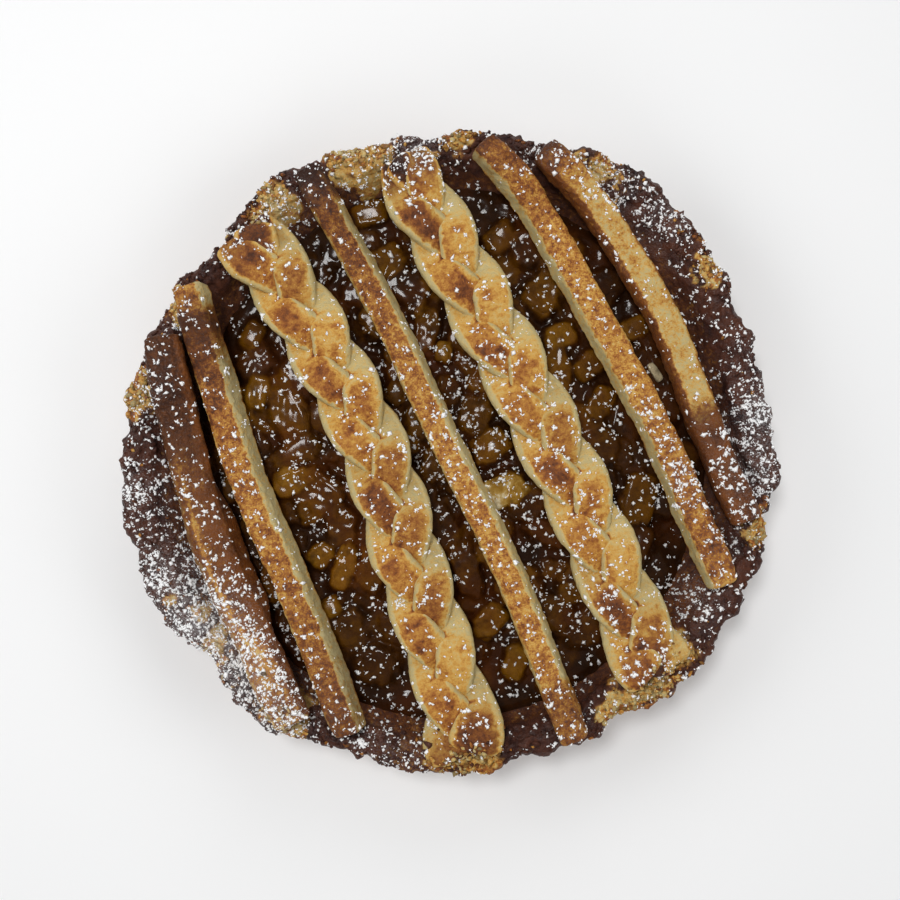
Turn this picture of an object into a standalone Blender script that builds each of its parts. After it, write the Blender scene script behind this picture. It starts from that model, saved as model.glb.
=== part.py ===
# Apple pie with two plaited strips and five straight strips of pastry over its filling.
#
# The pie stands on its flat base at Z = 0, centred on the origin, with +X to the right and +Y away
# from the viewer. All sizes below are millimetres; meshes are written in metres.

import bmesh
import bpy
import numpy as np
from mathutils import Euler, Matrix, Vector

MM = 0.001

# Driving dimensions of the crust
RIM_RADIUS = 118.6
RIM_TOP = 35.2
BASE_RADIUS = 84.0
FLOOR_THICKNESS = 5.0
CRUST_STEPS = 90
RAGGED_FROM = 24.0
RAGGED_FULL = 33.0
# Bumps and dents of the broken rim: bearing in degrees, half width in degrees, height
RIM_BUMPS = [
    (10, 9, -2.0),
    (30, 6, 2.0),
    (55, 12, 5.0),
    (94, 13, -3.0),
    (140, 14, -4.5),
    (163, 9, -2.5),
    (186, 12, 1.5),
    (220, 9, -2.5),
    (250, 8, -5.5),
    (287, 14, -5.0),
    (303, 6, -2.0),
    (350, 8, 2.0),
]

# Driving dimensions of the filling
GAP = 0.35
FILLING_EDGE = 19.0
FILLING_EDGE_RISE = 4.0
FILLING_MIDDLE = 20.0
CHUNK_SPACING = 18.2
CHUNK_REACH = 89.0
CHUNK_PULLED_TO = 84.0
CHUNK_LONG = (13.5, 20.5)
CHUNK_WIDE = (9.0, 15.0)
CHUNK_HIGH = (9.0, 12.0)
CHUNK_TOP = (23.5, 26.6)
CHUNK_SEED = 7

# Driving dimensions of the pastry strips
SAG_BOTTOM = 27.4
REST_GAP = 0.6
STRIP_STEPS = 20
STRIP_SIDES = 8
STRIP_END = 12.0
STRIP_BLUNTNESS = 0.6
EASING = 4
# Each straight strip: route over the pie, width, thickness, roll in degrees
STRIPS = {
    "strip_far_left": (
        [(-103.5, 41), (-96, 2), (-84.5, -38), (-68, -72), (-55, -97.5)], 14.8, 9.5, -18),
    "strip_left": (
        [(-93, 59), (-85.8, 30), (-73, -11), (-54.3, -54), (-34.5, -101)], 13.6, 10.0, 0),
    "strip_middle": (
        [(-52, 102), (-25, 54), (-1, 3), (23, -47), (45, -103)], 12.2, 9.5, 0),
    "strip_right": (
        [(11, 110), (29.5, 90), (54, 47), (76.5, 4), (97.5, -49)], 12.5, 10.0, 0),
    "strip_far_right": (
        [(33, 108), (55, 85.5), (77, 49.5), (89.5, 17.5), (97, -3), (106, -26)], 12.8, 9.5, 12),
}
# Each plait: route over the pie, length of one lobe, place of the first lobe
PLAITS = {
    "braid_left": ([(-74, 79), (-52, 47), (-28, 1), (-14, -42), (0, -84), (8, -108)], 24.8, 8.1),
    "braid_right": ([(-18, 106), (-2, 76), (22, 32), (45, -14), (63, -56), (74, -80)], 26.0, 19.8),
}
STRAND_WIDTH = 13.4
STRAND_THICKNESS = 7.0
STRAND_SWING = 6.6
STRAND_RISE = 3.1
STRAND_STEPS = 37
STRAND_SIDES = 7
STRAND_END = 16.0
STRAND_BLUNTNESS = 0.7
PLAIT_END = 20.0


def clear_scene():
    for item in list(bpy.data.objects):
        bpy.data.objects.remove(item, do_unlink=True)


def material(name, colour, roughness):
    made = bpy.data.materials.new(name)
    made.use_nodes = True
    shader = made.node_tree.nodes["Principled BSDF"]
    shader.inputs["Base Color"].default_value = (*colour, 1.0)
    shader.inputs["Roughness"].default_value = roughness
    shader.inputs["Metallic"].default_value = 0.0
    made.diffuse_color = (*colour, 1.0)
    return made


def smooth_step(value):
    held = np.clip(value, 0.0, 1.0)
    return held * held * (3.0 - 2.0 * held)


def rim_ripple(bearing):
    """Uneven edge: three waves round the rim, added up."""
    return (0.9 * np.sin(9 * bearing + 0.6) + 0.8 * np.sin(17 * bearing + 2.1)
            + 0.6 * np.sin(31 * bearing + 4.0))


def rim_reach(bearing):
    """How far the rim stands out past its mean radius: the ripple and each bump's bell curve."""
    reach = rim_ripple(bearing)
    for middle, half_width, height in RIM_BUMPS:
        away = (bearing - np.radians(middle) + np.pi) % (2 * np.pi) - np.pi
        reach = reach + height * np.exp(-(away / np.radians(half_width)) ** 2)
    return reach


def rim_lift(bearing):
    """How far the rim's top stands above its mean height."""
    return 0.7 * np.sin(5 * bearing + 1.0) + 0.6 * np.sin(13 * bearing + 0.3)


def crust_profile():
    """Half section of the crust, from the middle of its floor over the rim to the base's middle."""
    upper = [(0, FLOOR_THICKNESS), (79, FLOOR_THICKNESS), (86, 8), (91.5, 14), (98, 21.5),
             (104, 28), (109, 32.8), (113.5, RIM_TOP), (117, RIM_TOP - 0.4)]
    lower = [(RIM_RADIUS, RIM_TOP - 2.2), (116.8, RIM_TOP - 4.2), (108.5, 26), (102.5, 19.5),
             (94.5, 10), (87, 1.2), (BASE_RADIUS, 0), (0, 0)]
    return np.array(upper, float), np.array(lower, float)


def rim_offset():
    """Middle of the broken rim's box, taken off so that the pie is centred on the origin."""
    bearing = np.linspace(0, 2 * np.pi, CRUST_STEPS, endpoint=False)
    radius = RIM_RADIUS + rim_reach(bearing)
    x, y = radius * np.cos(bearing), radius * np.sin(bearing)
    return (x.min() + x.max()) / 2, (y.min() + y.max()) / 2


def roughen(points):
    """Push the upper part of a turned crust out and up by the broken rim's reach and lift."""
    bearing = np.arctan2(points[:, 1], points[:, 0])
    share = smooth_step((points[:, 2] - RAGGED_FROM) / (RAGGED_FULL - RAGGED_FROM))
    radius = np.hypot(points[:, 0], points[:, 1]) + share * rim_reach(bearing)
    x_middle, y_middle = rim_offset()
    moved = np.empty_like(points)
    moved[:, 0] = radius * np.cos(bearing) - share * x_middle
    moved[:, 1] = radius * np.sin(bearing) - share * y_middle
    moved[:, 2] = points[:, 2] + share * rim_lift(bearing)
    return moved


def crust_top(x, y):
    """Height of the crust's upper face over a place, read along the bearing of that place."""
    upper, _ = crust_profile()
    bearing = np.arctan2(y, x)
    turned = np.stack([upper[:, 0] * np.cos(bearing), upper[:, 0] * np.sin(bearing), upper[:, 1]], 1)
    raised = roughen(turned)
    radii = np.hypot(raised[:, 0], raised[:, 1])
    return np.interp(np.hypot(x, y), radii, raised[:, 2])


def points_of(mesh):
    flat = np.empty(len(mesh.vertices) * 3)
    mesh.vertices.foreach_get("co", flat)
    return flat.reshape(-1, 3)


def settle(item):
    """Swap an object for a plain mesh of what its modifiers or its curve make, with its caps welded."""
    graph = bpy.context.evaluated_depsgraph_get()
    mesh = bpy.data.meshes.new_from_object(item.evaluated_get(graph))
    shape = bmesh.new()
    shape.from_mesh(mesh)
    bmesh.ops.remove_doubles(shape, verts=shape.verts, dist=0.00001)
    bmesh.ops.recalc_face_normals(shape, faces=shape.faces)
    shape.to_mesh(mesh)
    shape.free()
    made = bpy.data.objects.new(item.name, mesh)
    made.matrix_world = item.matrix_world
    for home in item.users_collection:
        home.objects.link(made)
    name = item.name
    bpy.data.objects.remove(item, do_unlink=True)
    made.name = name
    return made


def turned(name, profile, steps, collection):
    """Turn a half section round the Z axis with a Screw modifier."""
    mesh = bpy.data.meshes.new(name)
    corners = [(radius * MM, 0.0, height * MM) for radius, height in profile]
    edges = [(step, step + 1) for step in range(len(corners) - 1)]
    mesh.from_pydata(corners, edges, [])
    item = bpy.data.objects.new(name, mesh)
    collection.objects.link(item)
    screw = item.modifiers.new("turn", "SCREW")
    screw.steps = steps
    screw.render_steps = steps
    screw.use_merge_vertices = True
    screw.merge_threshold = 0.0001
    return settle(item)


def make_crust(collection):
    upper, lower = crust_profile()
    crust = turned("crust", np.vstack([upper, lower]), CRUST_STEPS, collection)
    moved = roughen(points_of(crust.data) / MM) * MM
    crust.data.vertices.foreach_set("co", moved.ravel())
    crust.data.update()
    return crust


def filling_level(x, y):
    """Height of the syrup: low waves, lower at the wall to the left and right."""
    radius = np.hypot(x, y)
    side = np.sin(np.arctan2(y, x)) ** 2
    edge = FILLING_EDGE + FILLING_EDGE_RISE * side
    inward = smooth_step((96.0 - radius) / 30.0)
    waves = 0.8 * np.sin(x / 11.0 + 1.0) * np.sin(y / 13.0)
    return edge + (FILLING_MIDDLE - edge) * inward + waves * inward


def make_filling_core(collection):
    upper, _ = crust_profile()
    walls = upper[1:6]
    rings = [0, 16, 32, 48, 64, 78]
    heights = [FLOOR_THICKNESS + GAP, 8 + GAP, 14]
    side = [(np.interp(height - GAP, walls[:, 1], walls[:, 0]) - GAP, height) for height in heights]
    side[0] = (79 - GAP, FLOOR_THICKNESS + GAP)
    top_edge = [(90, FILLING_EDGE + 10)]
    over = [(ring, FILLING_EDGE + 10) for ring in reversed(rings)]
    profile = np.array(([(0, FLOOR_THICKNESS + GAP)] + side + top_edge + over)[::-1], float)
    core = turned("apple_filling", profile, 60, collection)
    points = points_of(core.data) / MM
    lid = points[:, 2] > FILLING_EDGE + 5
    radius = np.hypot(points[:, 0], points[:, 1])
    bearing = np.arctan2(points[:, 1], points[:, 0])
    rim = lid & (radius > 85)
    edge = FILLING_EDGE + FILLING_EDGE_RISE * np.sin(bearing) ** 2
    reach = np.interp(edge - GAP, walls[:, 1], walls[:, 0]) - GAP
    points[rim, 0] = (reach * np.cos(bearing))[rim]
    points[rim, 1] = (reach * np.sin(bearing))[rim]
    points[lid, 2] = filling_level(points[lid, 0], points[lid, 1])
    core.data.vertices.foreach_set("co", (points * MM).ravel())
    core.data.update()
    return core


def chunk_places():
    """Where the apple pieces lie: a close-packed grid with each place shaken by a seeded draw."""
    draw = np.random.RandomState(CHUNK_SEED)
    rows = int(CHUNK_REACH / (CHUNK_SPACING * 0.866)) + 1
    for row in range(-rows, rows + 1):
        for column in range(-rows, rows + 1):
            shake = draw.uniform(-0.22, 0.22, 2) * CHUNK_SPACING
            x = (column + 0.5 * (row % 2)) * CHUNK_SPACING + shake[0]
            y = row * CHUNK_SPACING * 0.866 + shake[1]
            size = [draw.uniform(*CHUNK_LONG), draw.uniform(*CHUNK_WIDE), draw.uniform(*CHUNK_HIGH)]
            turn = draw.uniform(0, np.pi)
            lean = np.radians(draw.uniform(-14, 14, 2))
            top = draw.uniform(*CHUNK_TOP)
            radius = np.hypot(x, y)
            pull = min(1.0, CHUNK_PULLED_TO / max(radius, 1.0))
            if radius < CHUNK_REACH:
                yield x * pull, y * pull, size, turn, lean, top


def make_chunk(name, x, y, size, turn, lean, top, collection):
    """One piece of apple: a box with its upper edges cut off, leaning a little."""
    shape = bmesh.new()
    bmesh.ops.create_cube(shape, size=1.0)
    bmesh.ops.scale(shape, vec=Vector([value * MM for value in size]), verts=shape.verts)
    crown = [edge for edge in shape.edges if min(corner.co.z for corner in edge.verts) > 0]
    bmesh.ops.bevel(shape, geom=crown, offset=2.4 * MM, segments=1, affect="EDGES")
    spin = Euler((lean[0], lean[1], turn)).to_matrix().to_4x4()
    bmesh.ops.transform(shape, matrix=spin, verts=shape.verts)
    highest = max(corner.co.z for corner in shape.verts)
    lift = Matrix.Translation((x * MM, y * MM, top * MM - highest))
    bmesh.ops.transform(shape, matrix=lift, verts=shape.verts)
    for corner in shape.verts:
        ground = float(crust_top(corner.co.x / MM, corner.co.y / MM)) + 2 * GAP
        corner.co.z = max(corner.co.z, ground * MM)
    mesh = bpy.data.meshes.new(name)
    shape.to_mesh(mesh)
    shape.free()
    item = bpy.data.objects.new(name, mesh)
    collection.objects.link(item)
    return item


def drop_scraps(mesh):
    """Keep the largest body of a joined mesh: scraps and sealed hollows that the join left go."""
    shape = bmesh.new()
    shape.from_mesh(mesh)
    shape.faces.ensure_lookup_table()
    left = set(shape.faces)
    bodies = []
    while left:
        reached = [left.pop()]
        body = list(reached)
        while reached:
            face = reached.pop()
            for edge in face.edges:
                for other in edge.link_faces:
                    if other in left:
                        left.remove(other)
                        reached.append(other)
                        body.append(other)
        bodies.append(body)
    bodies.sort(key=len)
    scraps = [face for body in bodies[:-1] for face in body]
    bmesh.ops.delete(shape, geom=scraps, context="FACES")
    shape.to_mesh(mesh)
    shape.free()


def join_collection(item, pieces):
    """One Boolean union of an object with a collection, applied, and the collection taken away."""
    union = item.modifiers.new("join", "BOOLEAN")
    union.operation = "UNION"
    union.operand_type = "COLLECTION"
    union.collection = pieces
    union.solver = "EXACT"
    joined = settle(item)
    drop_scraps(joined.data)
    for piece in list(pieces.objects):
        bpy.data.objects.remove(piece, do_unlink=True)
    bpy.data.collections.remove(pieces)
    return joined


def make_filling(collection):
    core = make_filling_core(collection)
    pieces = bpy.data.collections.new("apple_pieces")
    bpy.context.scene.collection.children.link(pieces)
    for count, place in enumerate(chunk_places()):
        make_chunk(f"apple_piece_{count}", *place, pieces)
    return join_collection(core, pieces)


def smooth_route(points, count):
    """Even places along a smooth curve that passes through the given points."""
    given = np.array(points, float)
    padded = np.vstack([2 * given[0] - given[1], given, 2 * given[-1] - given[-2]])
    fine = []
    for leg in range(len(given) - 1):
        before, start, end, after = padded[leg:leg + 4]
        for share in np.linspace(0, 1, 24, endpoint=False):
            fine.append(0.5 * (2 * start + (end - before) * share
                               + (2 * before - 5 * start + 4 * end - after) * share ** 2
                               + (3 * start - before - 3 * end + after) * share ** 3))
    fine.append(given[-1])
    fine = np.array(fine)
    run = np.concatenate([[0], np.cumsum(np.hypot(*np.diff(fine, axis=0).T))])
    even = np.linspace(0, run[-1], count)
    return np.stack([np.interp(even, run, fine[:, 0]), np.interp(even, run, fine[:, 1])], 1)


def sideways(route):
    """Unit vectors across a route, to its left."""
    along = np.gradient(route, axis=0)
    along /= np.linalg.norm(along, axis=1)[:, None]
    return np.stack([-along[:, 1], along[:, 0]], 1)


def resting_height(route, reaches, depths):
    """Height of a strip's middle line: low over the filling, and on the rim at both ends.

    reaches and depths hold, for each place along the route, how far the corners of the section lie
    to its left and above its middle. Corners, the middles of the edges between them and the places
    halfway to the next section all stay the resting gap above the crust.
    """
    across = sideways(route)
    wanted = np.full(len(route), -np.inf)
    reaches = np.hstack([reaches, (reaches + np.roll(reaches, -1, axis=1)) / 2])
    depths = np.hstack([depths, (depths + np.roll(depths, -1, axis=1)) / 2])
    for reach, depth in zip(reaches.T, depths.T):
        places = route + across * reach[:, None]
        between = (places[1:] + places[:-1]) / 2
        support = np.array([crust_top(x, y) for x, y in places])
        ridge = np.array([crust_top(x, y) for x, y in between])
        support[1:] = np.maximum(support[1:], ridge)
        support[:-1] = np.maximum(support[:-1], ridge)
        wanted = np.maximum(wanted, np.maximum(support + REST_GAP, SAG_BOTTOM) - depth)
    eased = wanted.copy()
    for _ in range(EASING):
        spread = np.convolve(np.pad(eased, 1, mode="edge"), [0.25, 0.5, 0.25], "valid")
        eased = np.maximum(wanted, spread)
    return eased


def rounded_oblong(width, thickness, sides, bluntness):
    """Corners of a rounded oblong, as reaches to the left and heights above its middle."""
    turn = (np.arange(sides) + 0.5) * 2 * np.pi / sides
    reach = np.sign(np.cos(turn)) * np.abs(np.cos(turn)) ** bluntness * width / 2
    height = np.sign(np.sin(turn)) * np.abs(np.sin(turn)) ** bluntness * thickness / 2
    return reach, height


def section(name, corners):
    """Cross-section of a strip as a closed flat curve, whose X runs to the right of the route."""
    x, y = corners
    curve = bpy.data.curves.new(name, "CURVE")
    curve.dimensions = "2D"
    spline = curve.splines.new("POLY")
    spline.points.add(len(x) - 1)
    for corner, reach, height in zip(spline.points, x, y):
        corner.co = (-reach * MM, height * MM, 0.0, 1.0)
    spline.use_cyclic_u = True
    return bpy.data.objects.new(name, curve)


def sweep(name, path, fatness, outline, collection):
    """A solid bar that follows a path: a section curve carried along it, with filled ends."""
    curve = bpy.data.curves.new(name, "CURVE")
    curve.dimensions = "3D"
    curve.twist_mode = "Z_UP"
    curve.bevel_mode = "OBJECT"
    curve.bevel_object = outline
    curve.use_fill_caps = True
    spline = curve.splines.new("POLY")
    spline.points.add(len(path) - 1)
    for corner, place, size in zip(spline.points, path, fatness):
        corner.co = (*(place * MM), 1.0)
        corner.radius = size
    item = bpy.data.objects.new(name, curve)
    collection.objects.link(item)
    return settle(item)


def end_taper(count, run, blunt):
    """Size of a bar along its length: full in the middle and rounded off over a short way at each end."""
    along = np.linspace(0, run, count)
    near = np.minimum(along, run - along)
    return 0.72 + 0.28 * np.sqrt(np.clip(near / blunt, 0, 1))


def make_strip(name, collection, cutters):
    points, width, thickness, roll = STRIPS[name]
    route = smooth_route(points, STRIP_STEPS)
    run = np.hypot(*np.diff(route, axis=0).T).sum()
    wobble = 1 + 0.04 * np.sin(np.arange(STRIP_STEPS) * 1.9 + width)
    fatness = end_taper(STRIP_STEPS, run, STRIP_END) * wobble
    corners = rounded_oblong(width, thickness, STRIP_SIDES, STRIP_BLUNTNESS)
    lean = np.radians(roll)
    reach = corners[0] * np.cos(lean) - corners[1] * np.sin(lean)
    depth = corners[0] * np.sin(lean) + corners[1] * np.cos(lean)
    height = resting_height(route, np.outer(fatness, reach), np.outer(fatness, depth))
    outline = section(name + "_section", (reach, depth))
    cutters.objects.link(outline)
    strip = sweep(name, np.column_stack([route, height]), fatness, outline, collection)
    bpy.data.objects.remove(outline, do_unlink=True)
    return strip


def strand_swing(along, run, lobe, first, strand):
    """Where one strand of a three-strand plait lies: it swings across as a sine, and over and under
    twice as often. Both swings shrink towards the pressed ends."""
    phase = 2 * np.pi * ((along - first) / (3 * lobe) + strand / 3)
    press = smooth_step(np.minimum(along, run - along) / PLAIT_END)
    across = -STRAND_SWING * (0.75 + 0.25 * press) * np.sin(phase)
    rise = -STRAND_RISE * (0.4 + 0.6 * press) * np.sin(2 * phase)
    return across, rise


def make_plait(name, collection, cutters):
    points, lobe, first = PLAITS[name]
    route = smooth_route(points, STRAND_STEPS)
    run = np.hypot(*np.diff(route, axis=0).T).sum()
    along = np.linspace(0, run, STRAND_STEPS)
    fatness = end_taper(STRAND_STEPS, run, STRAND_END)
    corners = rounded_oblong(STRAND_WIDTH, STRAND_THICKNESS, STRAND_SIDES, STRAND_BLUNTNESS)
    swings = [strand_swing(along, run, lobe, first, strand) for strand in range(3)]
    reaches = np.hstack([across[:, None] + np.outer(fatness, corners[0]) for across, _ in swings])
    depths = np.hstack([rise[:, None] + np.outer(fatness, corners[1]) for _, rise in swings])
    middle = resting_height(route, reaches, depths)
    outline = section(name + "_section", corners)
    cutters.objects.link(outline)
    others = bpy.data.collections.new(name + "_strands")
    bpy.context.scene.collection.children.link(others)
    strands = []
    for strand, (across, rise) in enumerate(swings):
        path = np.column_stack([route + sideways(route) * across[:, None], middle + rise])
        label = name if strand == 0 else f"{name}_strand_{strand}"
        strands.append(sweep(label, path, fatness, outline, collection if strand == 0 else others))
    bpy.data.objects.remove(outline, do_unlink=True)
    return join_collection(strands[0], others)


def main():
    clear_scene()
    pie = bpy.data.collections.new("apple_pie")
    cutters = bpy.data.collections.new("guides")
    bpy.context.scene.collection.children.link(pie)
    bpy.context.scene.collection.children.link(cutters)
    crust = make_crust(pie)
    crust.data.materials.append(material("crust_pastry", (0.34, 0.19, 0.09), 0.75))
    filling = make_filling(pie)
    filling.data.materials.append(material("apple_syrup", (0.16, 0.08, 0.025), 0.25))
    for name in STRIPS:
        strip = make_strip(name, pie, cutters)
        strip.data.materials.append(material(name + "_pastry", (0.46, 0.27, 0.12), 0.7))
    for name in PLAITS:
        plait = make_plait(name, pie, cutters)
        plait.data.materials.append(material(name + "_pastry", (0.58, 0.37, 0.16), 0.65))
    for item in pie.objects:
        item.data.set_sharp_from_angle(angle=np.radians(40))
        item.data.shade_smooth()


main()
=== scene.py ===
# %% [markdown]
# An apple pie, seen from above: a flared shortcrust shell with a broken rim, dark syrup with apple
# pieces, five straight strips and two plaits of pastry, and icing sugar over everything.
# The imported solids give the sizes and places. Every piece below is computed again as a fine surface
# over the same formulas, so each one lies where its solid lies.

import bpy
import numpy as np
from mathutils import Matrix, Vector


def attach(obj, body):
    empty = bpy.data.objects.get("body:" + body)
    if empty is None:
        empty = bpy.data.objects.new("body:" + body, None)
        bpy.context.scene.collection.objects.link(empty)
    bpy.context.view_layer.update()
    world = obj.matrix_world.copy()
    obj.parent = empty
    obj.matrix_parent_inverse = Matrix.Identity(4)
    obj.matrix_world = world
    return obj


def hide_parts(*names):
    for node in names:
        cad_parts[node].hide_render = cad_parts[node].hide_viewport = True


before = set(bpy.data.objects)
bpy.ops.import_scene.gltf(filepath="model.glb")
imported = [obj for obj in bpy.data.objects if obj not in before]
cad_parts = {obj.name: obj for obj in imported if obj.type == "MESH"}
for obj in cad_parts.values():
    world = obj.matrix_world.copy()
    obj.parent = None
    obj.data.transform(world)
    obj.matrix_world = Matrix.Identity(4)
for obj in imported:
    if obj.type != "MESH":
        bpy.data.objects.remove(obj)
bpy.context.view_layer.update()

MM = 0.001
print("solids", sorted(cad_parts))

# %% [markdown]
# Baked dough is never even. Two small tools give that unevenness everywhere: an S-curve that eases a
# share from 0 to 1, and a smooth random field. The field hashes whole-number places, so it is the
# same on every run, and finer layers on coarse ones give lumps with grain on them.

# %% Easing and noise
def eased(value):
    """S-curve: 0 below 0, 1 above 1, three squares minus two cubes between."""
    held = np.clip(value, 0.0, 1.0)
    return held * held * (3.0 - 2.0 * held)


def hashed(cell, seed):
    """A number from 0 to 1 for each whole-number place, by mixing the bits of its three numbers."""
    x, y, z = cell[..., 0], cell[..., 1], cell[..., 2]
    mixed = ((x * 73856093) ^ (y * 19349663) ^ (z * 83492791) ^ (seed * 2654435761)) & 0xFFFFFFFF
    for _ in range(2):
        mixed = ((mixed ^ (mixed >> 16)) * 0x45D9F3B) & 0xFFFFFFFF
    return (mixed ^ (mixed >> 16)) / 4294967296.0


def noise(points, size, seed):
    """Smooth field from -1 to 1: hashed values at the corners of a lattice, blended by the S-curve."""
    place = np.asarray(points, float) / size
    cell = np.floor(place).astype(np.int64)
    share = eased(place - cell)
    total = np.zeros(place.shape[:-1])
    for corner in np.ndindex(2, 2, 2):
        weight = np.where(np.array(corner) == 1, share, 1.0 - share).prod(axis=-1)
        total += weight * hashed(cell + np.array(corner), seed)
    return total * 2.0 - 1.0


def layered(points, seed, *layers):
    """Noise of several sizes added up: each layer has its height, its lump size and its own seed."""
    return sum(height * noise(points, size, seed + count) for count, (height, size) in enumerate(layers))


def field(x, y, z=0.0):
    """Three coordinate arrays as one array of points."""
    return np.stack(np.broadcast_arrays(x, y, z), axis=-1).astype(float)


print("noise at the origin", round(float(noise(np.zeros((1, 3)), 5.0, 1)[0]), 3))

# %% [markdown]
# Every dough piece here is a stack of closed rings with a point at each end: the crust is rings round
# the Z axis, a strip is rings along its route. One function joins such rings into a closed surface and
# turns the faces outwards if the stack was made the other way round.

# %% Surfaces from arrays
def add_piece(name, points, faces, smooth=True):
    """A mesh object from millimetre points and an array of triangles or quads, or a list of both."""
    face_sets = faces if isinstance(faces, list) else [faces]
    corners = np.concatenate([group.ravel() for group in face_sets]).astype(np.int32)
    counts = np.concatenate([np.full(len(group), group.shape[1]) for group in face_sets])
    mesh = bpy.data.meshes.new(name)
    mesh.vertices.add(len(points))
    mesh.vertices.foreach_set("co", (np.asarray(points) * MM).astype(np.float32).ravel())
    mesh.loops.add(len(corners))
    mesh.loops.foreach_set("vertex_index", corners)
    mesh.polygons.add(len(counts))
    starts = np.concatenate([[0], np.cumsum(counts)[:-1]]).astype(np.int32)
    mesh.polygons.foreach_set("loop_start", starts)
    mesh.polygons.foreach_set("use_smooth", np.full(len(counts), smooth))
    mesh.update(calc_edges=True)
    mesh.validate()
    item = bpy.data.objects.new(name, mesh)
    bpy.context.scene.collection.objects.link(item)
    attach(item, "root")
    return item


def ring_faces(rings, around):
    """Quads between neighbouring rings and triangle fans from the two end points, which come last."""
    steps = np.arange(around)
    ahead = (steps + 1) % around
    here = np.arange(rings - 1)[:, None] * around
    there = here + around
    quads = np.stack([here + steps, here + ahead, there + ahead, there + steps], axis=-1).reshape(-1, 4)
    first, last = np.full(around, rings * around), np.full(around, rings * around + 1)
    end = (rings - 1) * around
    lid, foot = np.stack([first, ahead, steps], 1), np.stack([last, end + steps, end + ahead], 1)
    return quads, np.vstack([lid, foot])


def signed_volume(points, faces):
    """Volume under each triangle fan of the faces, added up: negative where a shape is inside out."""
    total = 0.0
    for group in faces:
        for turn in range(1, group.shape[1] - 1):
            a, b, c = points[group[:, 0]], points[group[:, turn]], points[group[:, turn + 1]]
            total += np.einsum("ij,ij->i", a, np.cross(b, c)).sum() / 6.0
    return total


def closed_rings(rings, start, end):
    """Points and outward faces of a closed surface through a stack of rings, rings x around x 3."""
    points = np.vstack([rings.reshape(-1, 3), start, end])
    faces = list(ring_faces(rings.shape[0], rings.shape[1]))
    if signed_volume(points, faces) < 0:
        faces = [group[:, ::-1] for group in faces]
    return points, faces


def join_surfaces(parts):
    """Several closed surfaces as one set of points and faces, each part's numbers moved up."""
    points, quads, triangles, count = [], [], [], 0
    for part_points, part_faces in parts:
        quads.append(part_faces[0] + count)
        triangles.append(part_faces[1] + count)
        points.append(part_points)
        count += len(part_points)
    return np.vstack(points), [np.vstack(quads), np.vstack(triangles)]


def paint(item, name, values):
    """Keep one number for each vertex, for the materials to read."""
    attribute = item.data.attributes.new(name, "FLOAT", "POINT")
    attribute.data.foreach_set("value", np.asarray(values, np.float32).ravel())


def paint_pastry(item, *layers):
    """Keep the four numbers that the pastry's materials read at each point."""
    for name, values in zip(("brown", "char", "juice", "dust"), layers):
        paint(item, name, values)


def with_ends(values, ends=(0, 0)):
    """The numbers of a ring stack's points, and then those of its two end points."""
    return np.concatenate([values.ravel(), ends])


def triangles_in(item):
    """How many triangles a piece's faces make."""
    return sum(len(face.vertices) - 2 for face in item.data.polygons)


print("ring faces for 3 rings of 4", [group.shape for group in ring_faces(3, 4)])

# %% [markdown]
# The crust's half section is the same as the solid's: a thin floor, a wall that flares at about 48
# degrees, and a lip that turns outwards. The rim is broken, so its radius gains bumps and dents at
# named bearings, and the height of its lip rises and falls a little.

# %% Sizes of the crust, in millimetres
RIM_RADIUS = 118.6
RIM_TOP = 35.2
BASE_RADIUS = 84.0
FLOOR_THICKNESS = 5.0
CRUST_STEPS = 90
RAGGED_FROM = 24.0
RAGGED_FULL = 33.0
LIP_FROM, LIP_OVER = 28.0, 6.0
WALL_TO, WALL_OVER = 30.5, 4.0
RIM_BUMPS = [(10, 9, -2.0), (30, 6, 2.0), (55, 12, 5.0), (94, 13, -3.0), (140, 14, -4.5),
             (163, 9, -2.5), (186, 12, 1.5), (220, 9, -2.5), (250, 8, -5.5), (287, 14, -5.0),
             (303, 6, -2.0), (350, 8, 2.0)]
CRUST_UPPER = np.array([(0, FLOOR_THICKNESS), (79, FLOOR_THICKNESS), (86, 8), (91.5, 14), (98, 21.5),
                        (104, 28), (109, 32.8), (113.5, RIM_TOP), (117, RIM_TOP - 0.4)], float)
CRUST_LOWER = np.array([(RIM_RADIUS, RIM_TOP - 2.2), (116.8, RIM_TOP - 4.2), (108.5, 26),
                        (102.5, 19.5), (94.5, 10), (87, 1.2), (BASE_RADIUS, 0), (0, 0)], float)


def rim_reach(bearing):
    """How far the rim stands out past its mean radius: three waves and each bump's bell curve."""
    reach = (0.9 * np.sin(9 * bearing + 0.6) + 0.8 * np.sin(17 * bearing + 2.1)
             + 0.6 * np.sin(31 * bearing + 4.0))
    for middle, half_width, height in RIM_BUMPS:
        away = (bearing - np.radians(middle) + np.pi) % (2 * np.pi) - np.pi
        reach = reach + height * np.exp(-(away / np.radians(half_width)) ** 2)
    return reach


def rim_lift(bearing):
    """How far the rim's top stands above its mean height: two waves."""
    return 0.7 * np.sin(5 * bearing + 1.0) + 0.6 * np.sin(13 * bearing + 0.3)


def rim_middle():
    """Middle of the broken rim's box, which the solid's maker took off to centre the pie."""
    bearing = np.linspace(0, 2 * np.pi, CRUST_STEPS, endpoint=False)
    radius = RIM_RADIUS + rim_reach(bearing)
    x, y = radius * np.cos(bearing), radius * np.sin(bearing)
    return (x.min() + x.max()) / 2, (y.min() + y.max()) / 2


RIM_X, RIM_Y = rim_middle()


def roughened(radius, bearing, height):
    """The turned crust's points with the broken rim's reach and lift, growing from wall to lip."""
    share = eased((height - RAGGED_FROM) / (RAGGED_FULL - RAGGED_FROM))
    out = radius + share * rim_reach(bearing)
    return field(out * np.cos(bearing) - share * RIM_X, out * np.sin(bearing) - share * RIM_Y,
                 height + share * rim_lift(bearing))


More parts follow.
